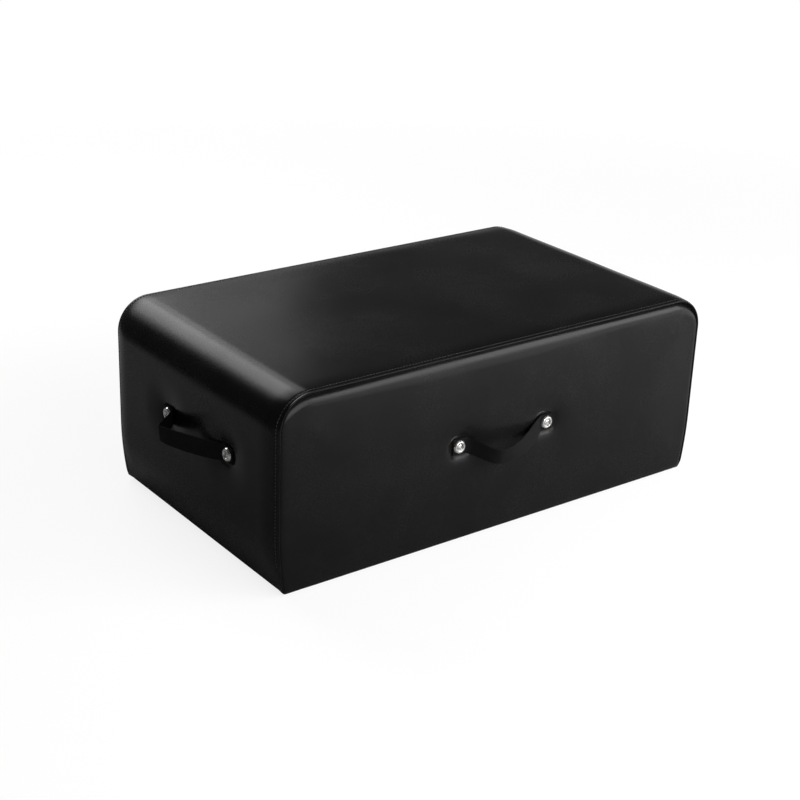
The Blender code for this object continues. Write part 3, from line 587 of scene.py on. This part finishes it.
def makePanel(name, degrees, face, middle, height):
    u, z = panelGrid(middle)
    out = face - panelFall(u, z, middle, height)
    loop = borderOf(np.arange(u.size).reshape(u.shape))
    lu, lz, lo = (grid.ravel()[loop] for grid in (u, z, out))
    # outward direction of the edge in the face's plane, from its neighbours
    du, dz = (np.roll(line, -1) - np.roll(line, 1) for line in (lu, lz))
    nu, nz = dz / np.hypot(du, dz), -du / np.hypot(du, dz)
    bottom = (np.arange(len(loop)) < u.shape[1]).astype(float)
    sewn = 1 - bottom
    # sewn edge: turns in behind the band's fold; bottom edge: rolls under with a 3 mm round
    turns = [(0.0003, 0.0004, 0.0012, 0.0003), (0.0006, 0.0009, 0.0022, 0.0009), (0.0007, 0.0016, 0.0028, 0.0018),
             (0.0004, 0.0024, 0.003, 0.003), (0.0, 0.003, 0.003, 0.0048)]
    seamOut, seamIn, down, inward = np.array(turns).T[..., None]
    rim = stacked(lu + nu * seamOut * sewn, lo - seamIn * sewn - inward * bottom,
                  lz + nz * seamOut * sewn - down * bottom)
    # the hem runs in under the box between the ends' hems
    run = np.flatnonzero((bottom > 0) & (np.abs(lu) < panel["hemHalf"]))
    hemU = lu[run]
    hemU[[0, -1]] = -panel["hemHalf"], panel["hemHalf"]
    hem = stacked(hemU, face - 0.002 - np.array([[0.011], [0.02], [box["hem"]]]), box["hemBottom"])
    hemStart = u.size + len(turns) * len(loop)
    faces = join([gridFaces(*u.shape), stripFaces(loop, u.size, len(turns), True),
                  stripFaces(hemStart - len(loop) + run, hemStart, len(hem), False)])
    points = join([part.reshape(-1, 3) for part in (stacked(u, out, z), rim, hem)])
    points = easeFoot(onSide(degrees, *points.T))
    piece = makePiece(name + "CoverPanel", points, faces, "leather", awayFrom=(0, 0, 0.15))
    addWall(piece, box["coverWall"])
    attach(piece, "root")
    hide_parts(name + "_cover_panel")
    print(name, "cover panel:", len(piece.data.vertices), "points")


for side in sides[::2]:
    makePanel(*side)

stitch = {"pitch": 0.0052, "length": 0.0041, "radius": 0.0006, "sink": -0.0002, "rise": 0.00025, "dip": 0.0008}


def repeatShape(base, kinds, centres, along, up, across):
    # copies a small shape to each centre, turned to the three directions there; kinds are its tables of faces
    points = centres[:, None] + base @ np.stack([along, up, across], axis=1)
    shift = (np.arange(len(centres)) * len(base))[:, None, None]
    faces = [corners for kind in kinds for corners in (kind + shift).reshape(-1, kind.shape[1]).tolist()]
    return points.reshape(-1, 3), faces


def unit(v):
    return v / np.linalg.norm(v, axis=-1, keepdims=True)


def stitchShape():
    # one thread from hole to hole: a round section whose middle rises and whose ends dip
    steps, t = 6, np.linspace(-1, 1, 6)
    angle = np.linspace(0, 2 * math.pi, steps, endpoint=False)
    radius = (stitch["radius"] * np.sqrt(np.clip(1.08 - t ** 6, 0.05, 1)))[:, None]
    rise = stitch["rise"] * (1 - t ** 2) - stitch["dip"] * np.abs(t) ** 5
    half = stitch["length"] / 2
    ring = stacked((t * half)[:, None], rise[:, None] + radius * np.sin(angle), radius * np.cos(angle))
    ends = np.array([[-half, rise[0], 0], [half, rise[-1], 0]])
    k = np.arange(steps)
    after, first, last = (k + 1) % steps, steps * steps, steps * (steps - 1)
    caps = join([stacked(first, k, after), stacked(first + 1, last + after, last + k)])
    return join([ring.reshape(-1, 3), ends]), [gridFaces(steps, steps, closeCols=True), caps]


def makeStitches(name, side):
    # a row of stitches along the band, one pitch apart along the profile
    first = np.flatnonzero(bandRows[:, 1] > 0.014)[0]
    rows = bandRows[first:len(bandRows) - first]
    line = easeFoot(bandSurface(rows, [side * (seam["y"] - seam["stitches"][1])])[:, 0].copy())
    line[:, [0, 2]] -= rows[:, 2:4] * stitch["sink"]
    length = join([[0], np.cumsum(np.linalg.norm(np.diff(line, axis=0), axis=1))])
    count = int(length[-1] / stitch["pitch"])
    place = (np.arange(count) + 0.5) * length[-1] / count

    def alongLine(values, shift=0.0):
        return stacked(*(np.interp(place + shift, length, column) for column in values.T))
    along = unit(alongLine(line, 0.001) - alongLine(line, -0.001))
    up = unit(alongLine(stacked(rows[:, 2], 0, rows[:, 3])))
    across = np.cross(along, up)
    up = np.cross(across, along)
    points, faces = repeatShape(*stitchShape(), alongLine(line), along, up, across)
    piece = makePiece(name, points, faces, "thread")
    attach(piece, "root")
    print(name, "stitches:", count)


makeStitches("frontTopStitching", -1)
makeStitches("backTopStitching", 1)


# Plywood carcass, as far as the foam needs it
carcass = {"halfLength": 0.3822, "halfDepth": 0.2182, "railRadius": 0.03, "top": 0.2782}


def makeFoam(name, node, outer, inner):
    # a solid between two grids of the same size, with walls along their four edges
    n, m = outer.shape[:2]
    border, count = borderOf(np.arange(n * m).reshape(n, m)), n * m
    after = np.roll(border, -1)
    faces = join([gridFaces(n, m), gridFaces(n, m)[:, ::-1] + count,
                  stacked(after, border, border + count, after + count)])
    points = join([outer.reshape(-1, 3), inner.reshape(-1, 3)])
    piece = makePiece(name, points, faces, "foam", points.mean(axis=0), sharpAngle=40)
    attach(piece, "root")
    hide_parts(node)


def makeWrappedFoam(name, node, keep):
    # foam under a stretch of the band: its outer side follows the cover, its inner side the boards
    rows = bandRows[keep][::2]
    half, deep, rail, top = carcass.values()
    gap = box["clearance"]
    outer = bandSurface(rows, np.linspace(-deep, deep, 60), sink=box["coverThickness"] + gap, fine=False)
    x, z, nx, nz = rows.T[:4, :, None]
    end, radius = half + gap, rail + gap
    onArc, upright = (z > shoulder) & (np.abs(nx) > 0.001), np.abs(nx) > 0.5
    ix = np.where(onArc, np.sign(x) * (half - rail) + radius * nx, np.where(upright, np.sign(x) * end, x))
    iz = np.where(onArc, top - rail + radius * nz, np.where(upright, z, top + gap))
    makeFoam(name, node, outer, stacked(np.clip(ix, -end, end), outer[..., 1], iz))


shoulder = box["height"] - box["cornerRadius"]
rowX, rowZ = bandRows[:, 0], bandRows[:, 1]
onEnd = (rowZ > 0.021) & (rowZ < shoulder)
makeWrappedFoam("topFoam", "top_foam", rowZ > shoulder + 0.0006)
makeWrappedFoam("rightEndFoam", "right_end_foam", onEnd & (rowX > 0.3))
makeWrappedFoam("leftEndFoam", "left_end_foam", onEnd & (rowX < -0.3))


def makeSideFoam(name, degrees, face, middle, height):
    u, z = (grid[6::2, 6:-6:2] for grid in panelGrid(middle))
    out = face - box["coverThickness"] - box["clearance"] - panelFall(u, z, middle, height)
    makeFoam(name + "Foam", name + "_foam", onSide(degrees, u, out, z),
             onSide(degrees, u, carcass["halfDepth"] + box["clearance"], z))


for side in sides[::2]:
    makeSideFoam(*side)
print("foam made")


# Carry handles of webbing
strap = {
    "width": 0.025,
    "thickness": 0.002,
    "tail": 0.011,
    "bow": 0.038,
    "lift": 0.0735,
    "tabOut": -0.0017,
    "hinge": 0.0145,
}
# how each soft loop hangs: its furthest point along the face, its droop there and the droop's power, the
# powers (a, b) of the parts right and left of it, and the lean of the webbing there and on its right part
hanging = {
    "front": (-0.03, 0.013, 0.85, (2.0, 1.21), (2.45, 2.5), -0.2, 1.05),
    "left": (-0.041, 0.0054, 0.58, (1.2, 0.93), (1.32, 1.42), -0.12, 1.45),
    "back": (-0.034, 0.012, 0.8, (1.9, 1.15), (2.1, 2.1), -0.14, 0.85),
    "right": (-0.04, 0.0085, 0.65, (1.4, 1.0), (1.5, 1.6), -0.12, 1.1),
}


def strapPath(name):
    # middle line of the webbing in a handle's own frame (along the face, out from it, up) and its lean:
    # the hump is (1 - t^a)^b, with t running from 0 at the furthest point to 1 where the loop leaves the face
    peak, droop, power, right, left, lean, twist = hanging[name]
    end = screwSpacing / 2 + strap["tail"]
    u = np.linspace(-end, end, 1200)
    onRight = u > peak
    t = np.clip(np.abs(u - peak) / (strap["lift"] - np.where(onRight, 1, -1) * peak), 0, 1)
    a, b = (np.where(onRight, *pair) for pair in zip(right, left))
    blur = np.exp(-(np.arange(-45, 46) / 8.0) ** 2 / 2)
    blur /= blur.sum()

    def soften(values):
        return np.convolve(np.pad(values, 45, mode="edge"), blur, mode="valid")
    hump = soften((1 - t ** a) ** b)
    out = strap["tabOut"] + (strap["bow"] - strap["tabOut"]) * hump
    up = soften(-droop * hump ** power)
    lean = soften((lean + twist * np.where(onRight, t, 0)) * hump ** 0.7)
    length = join([[0], np.cumsum(np.linalg.norm(np.diff([u, out, up]), axis=0))])
    s = np.linspace(0, length[-1], 300)
    return [np.interp(s, length, values) for values in (u, out, up, lean)] + [s]


def strapSection():
    # outline of the webbing's section: across, thickness; its selvages are a little fuller
    half, thick = strap["width"] / 2, strap["thickness"] / 2
    v = join([[-1.0, -0.985, -0.95, -0.9], np.linspace(-0.84, 0.84, 13), [0.9, 0.95, 0.985, 1.0]])
    fullness = np.clip(1 - np.abs(v) ** 26, 0, 1) ** 0.5 * (1 + 0.1 * np.exp(-((np.abs(v) - 0.9) / 0.05) ** 2))
    top = stacked(v * half, thick * fullness)
    return join([top, top[-2:0:-1] * [1, -1]])


def makeStrap(name, degrees, face, middle, height):
    u, out, up, lean, s = strapPath(name)
    wide, thick = strapSection().T[:, None]
    # at each point of the path: its direction, the way across the webbing (up, leaned, square to the
    # path) and the way through it
    ahead = unit(stacked(*(np.gradient(line, s) for line in (u, out, up))))
    rise = stacked(0, -np.sin(lean), np.cos(lean))
    rise = unit(rise - (rise * ahead).sum(axis=1, keepdims=True) * ahead)
    through = np.cross(rise, ahead)
    through *= np.sign(through[:, 1:2] + 1e-9)
    places = [base[:, None] + wide * rise[:, k:k + 1] + thick * through[:, k:k + 1]
              for k, base in enumerate((middle + u, face + out, height + up))]
    n, m = places[0].shape
    faces = [gridFaces(n, m, closeCols=True)]
    # heat-cut ends, closed across the section
    across = np.arange(m // 2 + 1)
    for row in (0, n - 1):
        upper, lower = row * m + across, row * m + -across % m
        faces.append(stacked(upper[:-1], upper[1:], lower[1:], lower[:-1]))
    # at the two selvages of each cut end the upper and lower point are one, so those faces are triangles
    faces = [list(dict.fromkeys(corners)) for corners in join(faces).tolist()]
    uv = stacked(s[:, None], wide + 0.1 + 0.05 * (thick < 0))
    piece = makePiece(name + "CarryStrap", onSide(degrees, *places), faces, "webbing",
                      uv=uv, sharpAngle=60)
    mergePoints(piece)
    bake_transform(piece)
    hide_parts(name + "_handle_strap", name + "_strap_tab_left", name + "_strap_tab_right")
    return float(s[-1])


def turnProfile(profile, steps):
    # spins points of (radius, height) about an axis; rows run along the profile
    radius, height = np.array(profile).T[..., None]
    angle = np.linspace(0, 2 * math.pi, steps, endpoint=False)
    return stacked(radius * np.cos(angle), radius * np.sin(angle), height)


def turnedMesh(*grids):
    # points and faces of several turned surfaces in one mesh
    starts = np.cumsum([0] + [grid[..., 0].size for grid in grids])
    faces = [gridFaces(*grid.shape[:2], closeCols=True) + start for grid, start in zip(grids, starts)]
    return join([grid.reshape(-1, 3) for grid in grids]), join(faces)


washer = {"radius": 0.0105, "height": 0.0032, "seat": 0.0068, "cone": 0.0047, "hole": 0.0029}


def washerPoints():
    # a pressed cup washer: rolled outer lip, domed shoulder, and a countersunk cone down to the hole
    r, h, seat, cone, hole = washer.values()
    lip = [(r - 0.0002, 0.0), (r, 0.0003), (r - 0.0001, 0.0007)]
    # quarter of an ellipse up from the lip, then a half round over into the cone
    dome = [(r - 0.0003 - 0.0022 * t, 0.0009 + (h - 0.0009) * math.sin(t * math.pi / 2))
            for t in np.linspace(0, 1, 8)]
    roll = [(seat + (r - 0.0025 - seat) * math.cos(t), h - 0.0006 + 0.0006 * math.sin(t))
            for t in np.linspace(1.2, 2.6, 5)]
    inner = [(cone + 0.0006, h - 0.002), (cone, h - 0.0024), (hole, 0.0007), (hole, 0.0003)]
    return turnProfile(lip + dome + roll + inner, 48)


screw = {"head": 0.0044, "crown": 0.001, "rim": 0.0021,
         "crossHalf": 0.0026, "crossWidth": 0.00058, "crossDepth": 0.0016, "bite": 0.0142}


def screwPoints():
    # an oval head: a shallow dome with a tapered cross sunk in, both on one polar grid
    radius = join([np.linspace(0, 0.58, 22), np.linspace(0.62, 1.0, 9)])[:, None] * screw["head"]
    angle = np.linspace(0, 2 * math.pi, 96, endpoint=False)
    x, y = radius * np.cos(angle), radius * np.sin(angle)
    dome = screw["rim"] + screw["crown"] * (1 - (radius / screw["head"]) ** 2)
    arm = np.maximum(np.abs(x), np.abs(y)) / screw["crossHalf"]
    across = np.minimum(np.abs(x), np.abs(y)) / (screw["crossWidth"] * (1.25 - 0.4 * arm))
    sunk = smooth((1.25 - across) / 0.5) * smooth((1.06 - arm) / 0.25)
    return stacked(x, y, dome - screw["crossDepth"] * sunk * (1 - 0.35 * arm))


def screwBody(foam):
    # the side of the head, the neck and the shank down to its point
    head, rim, tip = screw["head"], screw["rim"], -0.0006 - foam - screw["bite"]
    return turnProfile([(head, rim), (head * 0.96, rim - 0.0003), (0.0025, 0.0006), (0.0025, tip + 0.005),
                        (0.0015, tip + 0.001), (0.0002, tip)], 32)


def makeFixings(name, degrees, face, middle, height):
    foam = 0.01 if degrees % 180 == 0 else 0.016
    seat = face - dimple["depth"] + strap["thickness"] + 2 * box["clearance"]
    for hand, end in (("Left", -1), ("Right", 1)):
        # each screw has stopped at an angle of its own
        spin = math.radians(17 + 31 * end + degrees * 0.4)
        c, s = math.cos(spin), math.sin(spin)
        head = screwPoints() @ np.array([[c, s, 0], [-s, c, 0], [0, 0, 1]])
        for kind, grids, slot, angle in (("washer", (washerPoints(),), "nickel", 50),
                                         ("screw", (head, screwBody(foam)), "screw_steel", 45)):
            points, faces = turnedMesh(*grids)
            # made about +Z, laid against the face: its Z becomes out
            along, up, out = points.T
            places = onSide(degrees, middle + end * screwSpacing / 2 + along, seat + out, height + up)
            piece = makePiece(f"{name}Handle{kind.title()}{hand}", places, faces, kind, sharpAngle=angle)
            mergePoints(piece)
            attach(piece, "root")
            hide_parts(f"{name}_handle_{kind}_{hand.lower()}")


for side in sides:
    makeFixings(*side)
    strapLength = makeStrap(*side)
print("handles made, webbing", round(strapLength, 4), "m each")


foot = {"radius": 0.018, "height": 0.006, "bore": 0.0051, "x": 0.33, "y": 0.16}
lining = {"halfX": 0.3577, "halfY": 0.198, "lap": 0.018, "low": 0.0048, "high": 0.0063, "wall": 0.0005}


def makeUnderside():
    # the lining: low where it laps the hems, then up against the board, with a faint sag
    halfX, halfY, lap, low, high, wall = lining.values()
    x, y = (graded([(-half - lap, 0), (-half + 0.012, 0.003), (half - 0.012, 0.012), (half + lap, 0.003)])
            for half in (halfX, halfY))
    gridX, gridY = np.meshgrid(x, y)
    inside = np.minimum(halfX - np.abs(gridX), halfY - np.abs(gridY))
    z = low + (high - low) * smooth((inside - 0.0005) / 0.006)
    waves = np.sin(gridX * 57 + gridY * 23) + np.sin(gridX * 29 - gridY * 61)
    z -= 0.00015 * waves * smooth((inside - 0.02) / 0.03)
    sheet = makePiece("underLining", stacked(gridX, gridY, z), gridFaces(*gridX.shape), "lining",
                      awayFrom=(0, 0, 1))
    addWall(sheet, wall)
    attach(sheet, "root")
    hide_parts("dust_cover")
    # staples along the lining's edge
    halfX, halfY = halfX + lap - 0.006, halfY + lap - 0.006
    alongX, alongY = np.linspace(-halfX + 0.02, halfX - 0.02, 24), np.linspace(-halfY + 0.02, halfY - 0.02, 13)
    centres, angles = [], []
    for sign in (-1, 1):
        centres += [(v, sign * halfY) for v in alongX] + [(sign * halfX, v) for v in alongY]
        angles += [0.12 * math.sin(9 * v) for v in alongX]
        angles += [math.pi / 2 + 0.12 * math.sin(7 * v + sign) for v in alongY]
    long, wire = 0.0055, 0.00045  # half the length and half the thickness of a staple
    base = np.array([(a, b, c) for a in (-long, long) for b in (-wire, wire) for c in (-wire, wire)])
    faces = np.array([(0, 1, 3, 2), (4, 6, 7, 5), (0, 4, 5, 1), (2, 3, 7, 6), (0, 2, 6, 4), (1, 5, 7, 3)])
    angles = np.array(angles)
    along, across = (stacked(np.cos(turn), np.sin(turn), 0) for turn in (angles, angles + math.pi / 2))
    places = stacked(*np.array(centres).T, low - 0.0003)
    points, faces = repeatShape(base, [faces], places, along, np.cross(along, across), across)
    staples = makePiece("liningStaples", points, faces, "staple", sharpAngle=30)
    mergePoints(staples)
    bevel = staples.modifiers.new("roundWire", "BEVEL")
    bevel.width, bevel.segments, bevel.limit_method = 0.00016, 1, "NONE"
    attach(staples, "root")


def makeFeet():
    # rubber feet with two shallow rings on the tread and a counterbored screw
    r, h, bore, footX, footY = foot.values()
    profile = [(bore, 0.0002), (bore + 0.0003, 0.0)]
    for ring in (0.0085, 0.0125):
        profile += [(ring - 0.0006, 0.0), (ring - 0.0003, 0.0004), (ring + 0.0003, 0.0004), (ring + 0.0006, 0.0)]
    profile += [(r * 0.86, 0.0), (r * 0.9, 0.0003), (r * 0.925, 0.0009), (r * 0.995, h - 0.0006), (r * 0.99, h),
                (0.0024, h), (0.0024, 0.0036), (bore, 0.0036)]
    ring = turnProfile(profile, 64)
    headSide = [(0.002, 0.016), (0.002, 0.0034), (0.0044, 0.0034), (0.0045, 0.0026), (0.0043, 0.0019),
                (0.0038, 0.0014), (0.003, 0.0011)]
    faces = gridFaces(*ring.shape[:2], closeRows=True, closeCols=True)
    for sx, sy in ((-1, -1), (1, -1), (-1, 1), (1, 1)):
        place = [sx * footX, sy * footY, 0]
        end, hand = "front" if sy < 0 else "back", "left" if sx < 0 else "right"
        name = end + hand.title() + "Foot"
        pad = makePiece(name, ring + place, faces, "rubber", sharpAngle=40)
        # the same cross on a smaller head, which looks down
        top = screwPoints() * 0.003 / screw["head"] * [1, 1, 0.55]
        top[..., 2] = 0.0011 - (top[..., 2] - top[-1:, :, 2])
        points, quads = turnedMesh(turnProfile(headSide, 32), top)
        bolt = makePiece(name + "Screw", points + place, quads, "screw", sharpAngle=45)
        for piece, node in ((pad, f"{end}_{hand}_foot"), (bolt, f"{end}_{hand}_foot_screw")):
            mergePoints(piece)
            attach(piece, "root")
            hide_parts(node)


makeUnderside()
makeFeet()
print("underside made")

for name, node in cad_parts.items():
    if name.endswith("board") or name.endswith("rail"):
        node.data.materials.clear()
        node.data.materials.append(finishes["plywood"])


# large soft lamps: place, size and power; behind, a bright one in a weaker one rims the top's left edge
light = {
    "behind": ((-0.3, 1.92, 1.76), (1.2, 0.95), 16),
    "behindWide": ((-0.18, 1.94, 1.8), (2.1, 1.5), 26),
    "behindLow": ((0.54, 2.2, 1.15), (1.24, 0.56), 1.9),
    "frontRight": ((1.5, -1.75, 1.2), (1.55, 0.9), 50),
    "frontLow": ((1.67, -1.35, 0.41), (2.8, 0.75), 19),
    "frontLeft": ((-0.05, -2.25, 1.1), (1.6, 1.1), 42),
    "overhead": ((0.1, -0.1, 2.9), (2.4, 2.4), 5),
}
dimWorld = 0.062  # what reaches the box from all round


def measure(operation, place, direction=(0, 0, 0)):
    # the length of a place's vector, or its reach along a direction
    node = addNode(place.id_data, "VectorMath", Vector=place)
    node.operation = operation
    node.inputs[1].default_value = direction
    return node.outputs["Value"]


def seenPlain(tree, rays):
    return combine(tree, "MAXIMUM", rays["Is Camera Ray"], rays["Is Transmission Ray"])


def mixShaders(share, first, second):
    mix = addNode(share.id_data, "MixShader", Fac=share)
    feed(mix.inputs[1], first.outputs[0])
    feed(mix.inputs[2], second.outputs[0])
    return mix


def makeFloor():
    # pale floor; seen straight it is nearly white and keeps a soft shadow; in reflections it is paper with its
    # shadow, plus painted shade that darkens it behind the left end
    material, tree, shader = newMaterial("paleFloor")
    fill(shader, Base_Color=(0.8, 0.8, 0.8, 1), Roughness=0.9, Specular_IOR_Level=0.0)
    rays = addNode(tree, "LightPath").outputs
    place = addNode(tree, "TexCoord").outputs["Object"]
    glossy = rays["Is Glossy Ray"]
    far = measure("LENGTH", place)
    # the share of plain paper, which carries the shadow, fades to nothing 2.5 m from the box
    lit = combine(tree, "MULTIPLY", glossy, spreadTo(far, 1.0, 0.0, 1.2, 2.5))
    share = combine(tree, "MAXIMUM", spreadTo(far, 0.16, 0.0, 0.7, 2.5), lit)
    # painted shade: in reflections the floor's colour is a painted gradient, bright at the front right and
    # falling off behind the left end
    toFront = spreadTo(measure("DOT_PRODUCT", place, (0.8, -0.6, 0)), 0, 1, -2, 1)
    stops = [(0.133, 0.04), (0.3, 0.42), (0.4, 0.44), (0.53, 0.26), (0.9, 0.64)]
    reflectionShadeRamp = colourRamp(toFront, [(position, (level,) * 3) for position, level in stops])
    paintedShade = combine(tree, "MULTIPLY", glossy, combine(tree, "SUBTRACT", 1.0, reflectionShadeRamp))
    shadedTone = combine(tree, "SUBTRACT", 1.0, paintedShade)
    # the painted shade dims both the glow and the paper, in reflections only
    glow = addNode(tree, "Emission", Color=(1, 1, 1, 1), Strength=shadedTone)
    shown = mixShaders(share, glow, addNode(tree, "BsdfDiffuse", Color=shadedTone))
    seen = combine(tree, "MAXIMUM", seenPlain(tree, rays), glossy)
    fill(tree.nodes["Material Output"], Surface=mixShaders(seen, shader, shown).outputs[0])
    size = 200.0
    mesh = bpy.data.meshes.new("studioFloor")
    mesh.from_pydata([(-size, -size, 0), (size, -size, 0), (size, size, 0), (-size, size, 0)], [], [(0, 1, 2, 3)])
    mesh.materials.append(material)
    addObject("studioFloor", mesh)


def makeWorld():
    # white where the camera sees it, a dim studio for everything else; in reflections its low part is painted
    # pale behind the right end, a painted reflection that lights nothing
    world = bpy.data.worlds.new("studio")
    scene.world = world
    world.use_nodes = True
    tree = world.node_tree
    rays = addNode(tree, "LightPath").outputs
    place = addNode(tree, "TexCoord").outputs["Generated"]
    low = spreadTo(measure("DOT_PRODUCT", place, (0, 0, 1)), 1.0, 0.0, 0.0, 0.26)
    toRight = spreadTo(measure("DOT_PRODUCT", place, (0.7, 0.71, 0)), 0.0, 1.0, 0.55, 0.95)
    # painted reflection: a pale band low behind the right end that only glossy rays see
    paintedReflection = combine(tree, "MULTIPLY", rays["Is Glossy Ray"], combine(tree, "MULTIPLY", low, toRight))
    strength = combine(tree, "MAXIMUM", combine(tree, "MAXIMUM", seenPlain(tree, rays), paintedReflection), dimWorld)
    fill(tree.nodes["Background"], Color=(1, 1, 1, 1), Strength=strength)


def makeLights():
    for name, (place, size, power) in light.items():
        lamp = bpy.data.lights.new(name, "AREA")
        lamp.shape, lamp.energy = "RECTANGLE", power
        lamp.size, lamp.size_y = size
        holder = addObject(name, lamp)
        holder.location = place
        holder.rotation_euler = (Vector((0, 0, 0.2)) - Vector(place)).to_track_quat("-Z", "Y").to_euler()


view = {
    "azimuth": -37.505,
    "elevation": 23.091,
    "roll": 2.174,
    "focal": 1650.5,  # in pixels, as is the picture's width
    "picture": 800,
    "right": -0.01355,
    "up": 0.11958,
    "distance": 2.67713,
}


def makeCamera():
    # looks from the azimuth and elevation with a roll, then steps right, up and back
    a, e, r = (math.radians(view[key]) for key in ("azimuth", "elevation", "roll"))
    back = Vector((math.sin(a) * math.cos(e), -math.cos(a) * math.cos(e), math.sin(e)))
    level = (-back).cross(Vector((0, 0, 1))).normalized()
    upright = level.cross(-back)
    right = math.cos(r) * level + math.sin(r) * upright
    up = -math.sin(r) * level + math.cos(r) * upright
    lens = bpy.data.cameras.new("photoCamera")
    lens.sensor_width = 36
    lens.lens = view["focal"] / view["picture"] * lens.sensor_width
    camera = addObject("photoCamera", lens)
    place = back * view["distance"] + right * view["right"] + up * view["up"]
    turn = Matrix((right, up, back)).transposed().to_4x4()
    camera.matrix_world = Matrix.Translation(place) @ turn
    scene.camera = camera


makeFloor()
makeWorld()
makeLights()
makeCamera()
scene.view_settings.view_transform = "Standard"
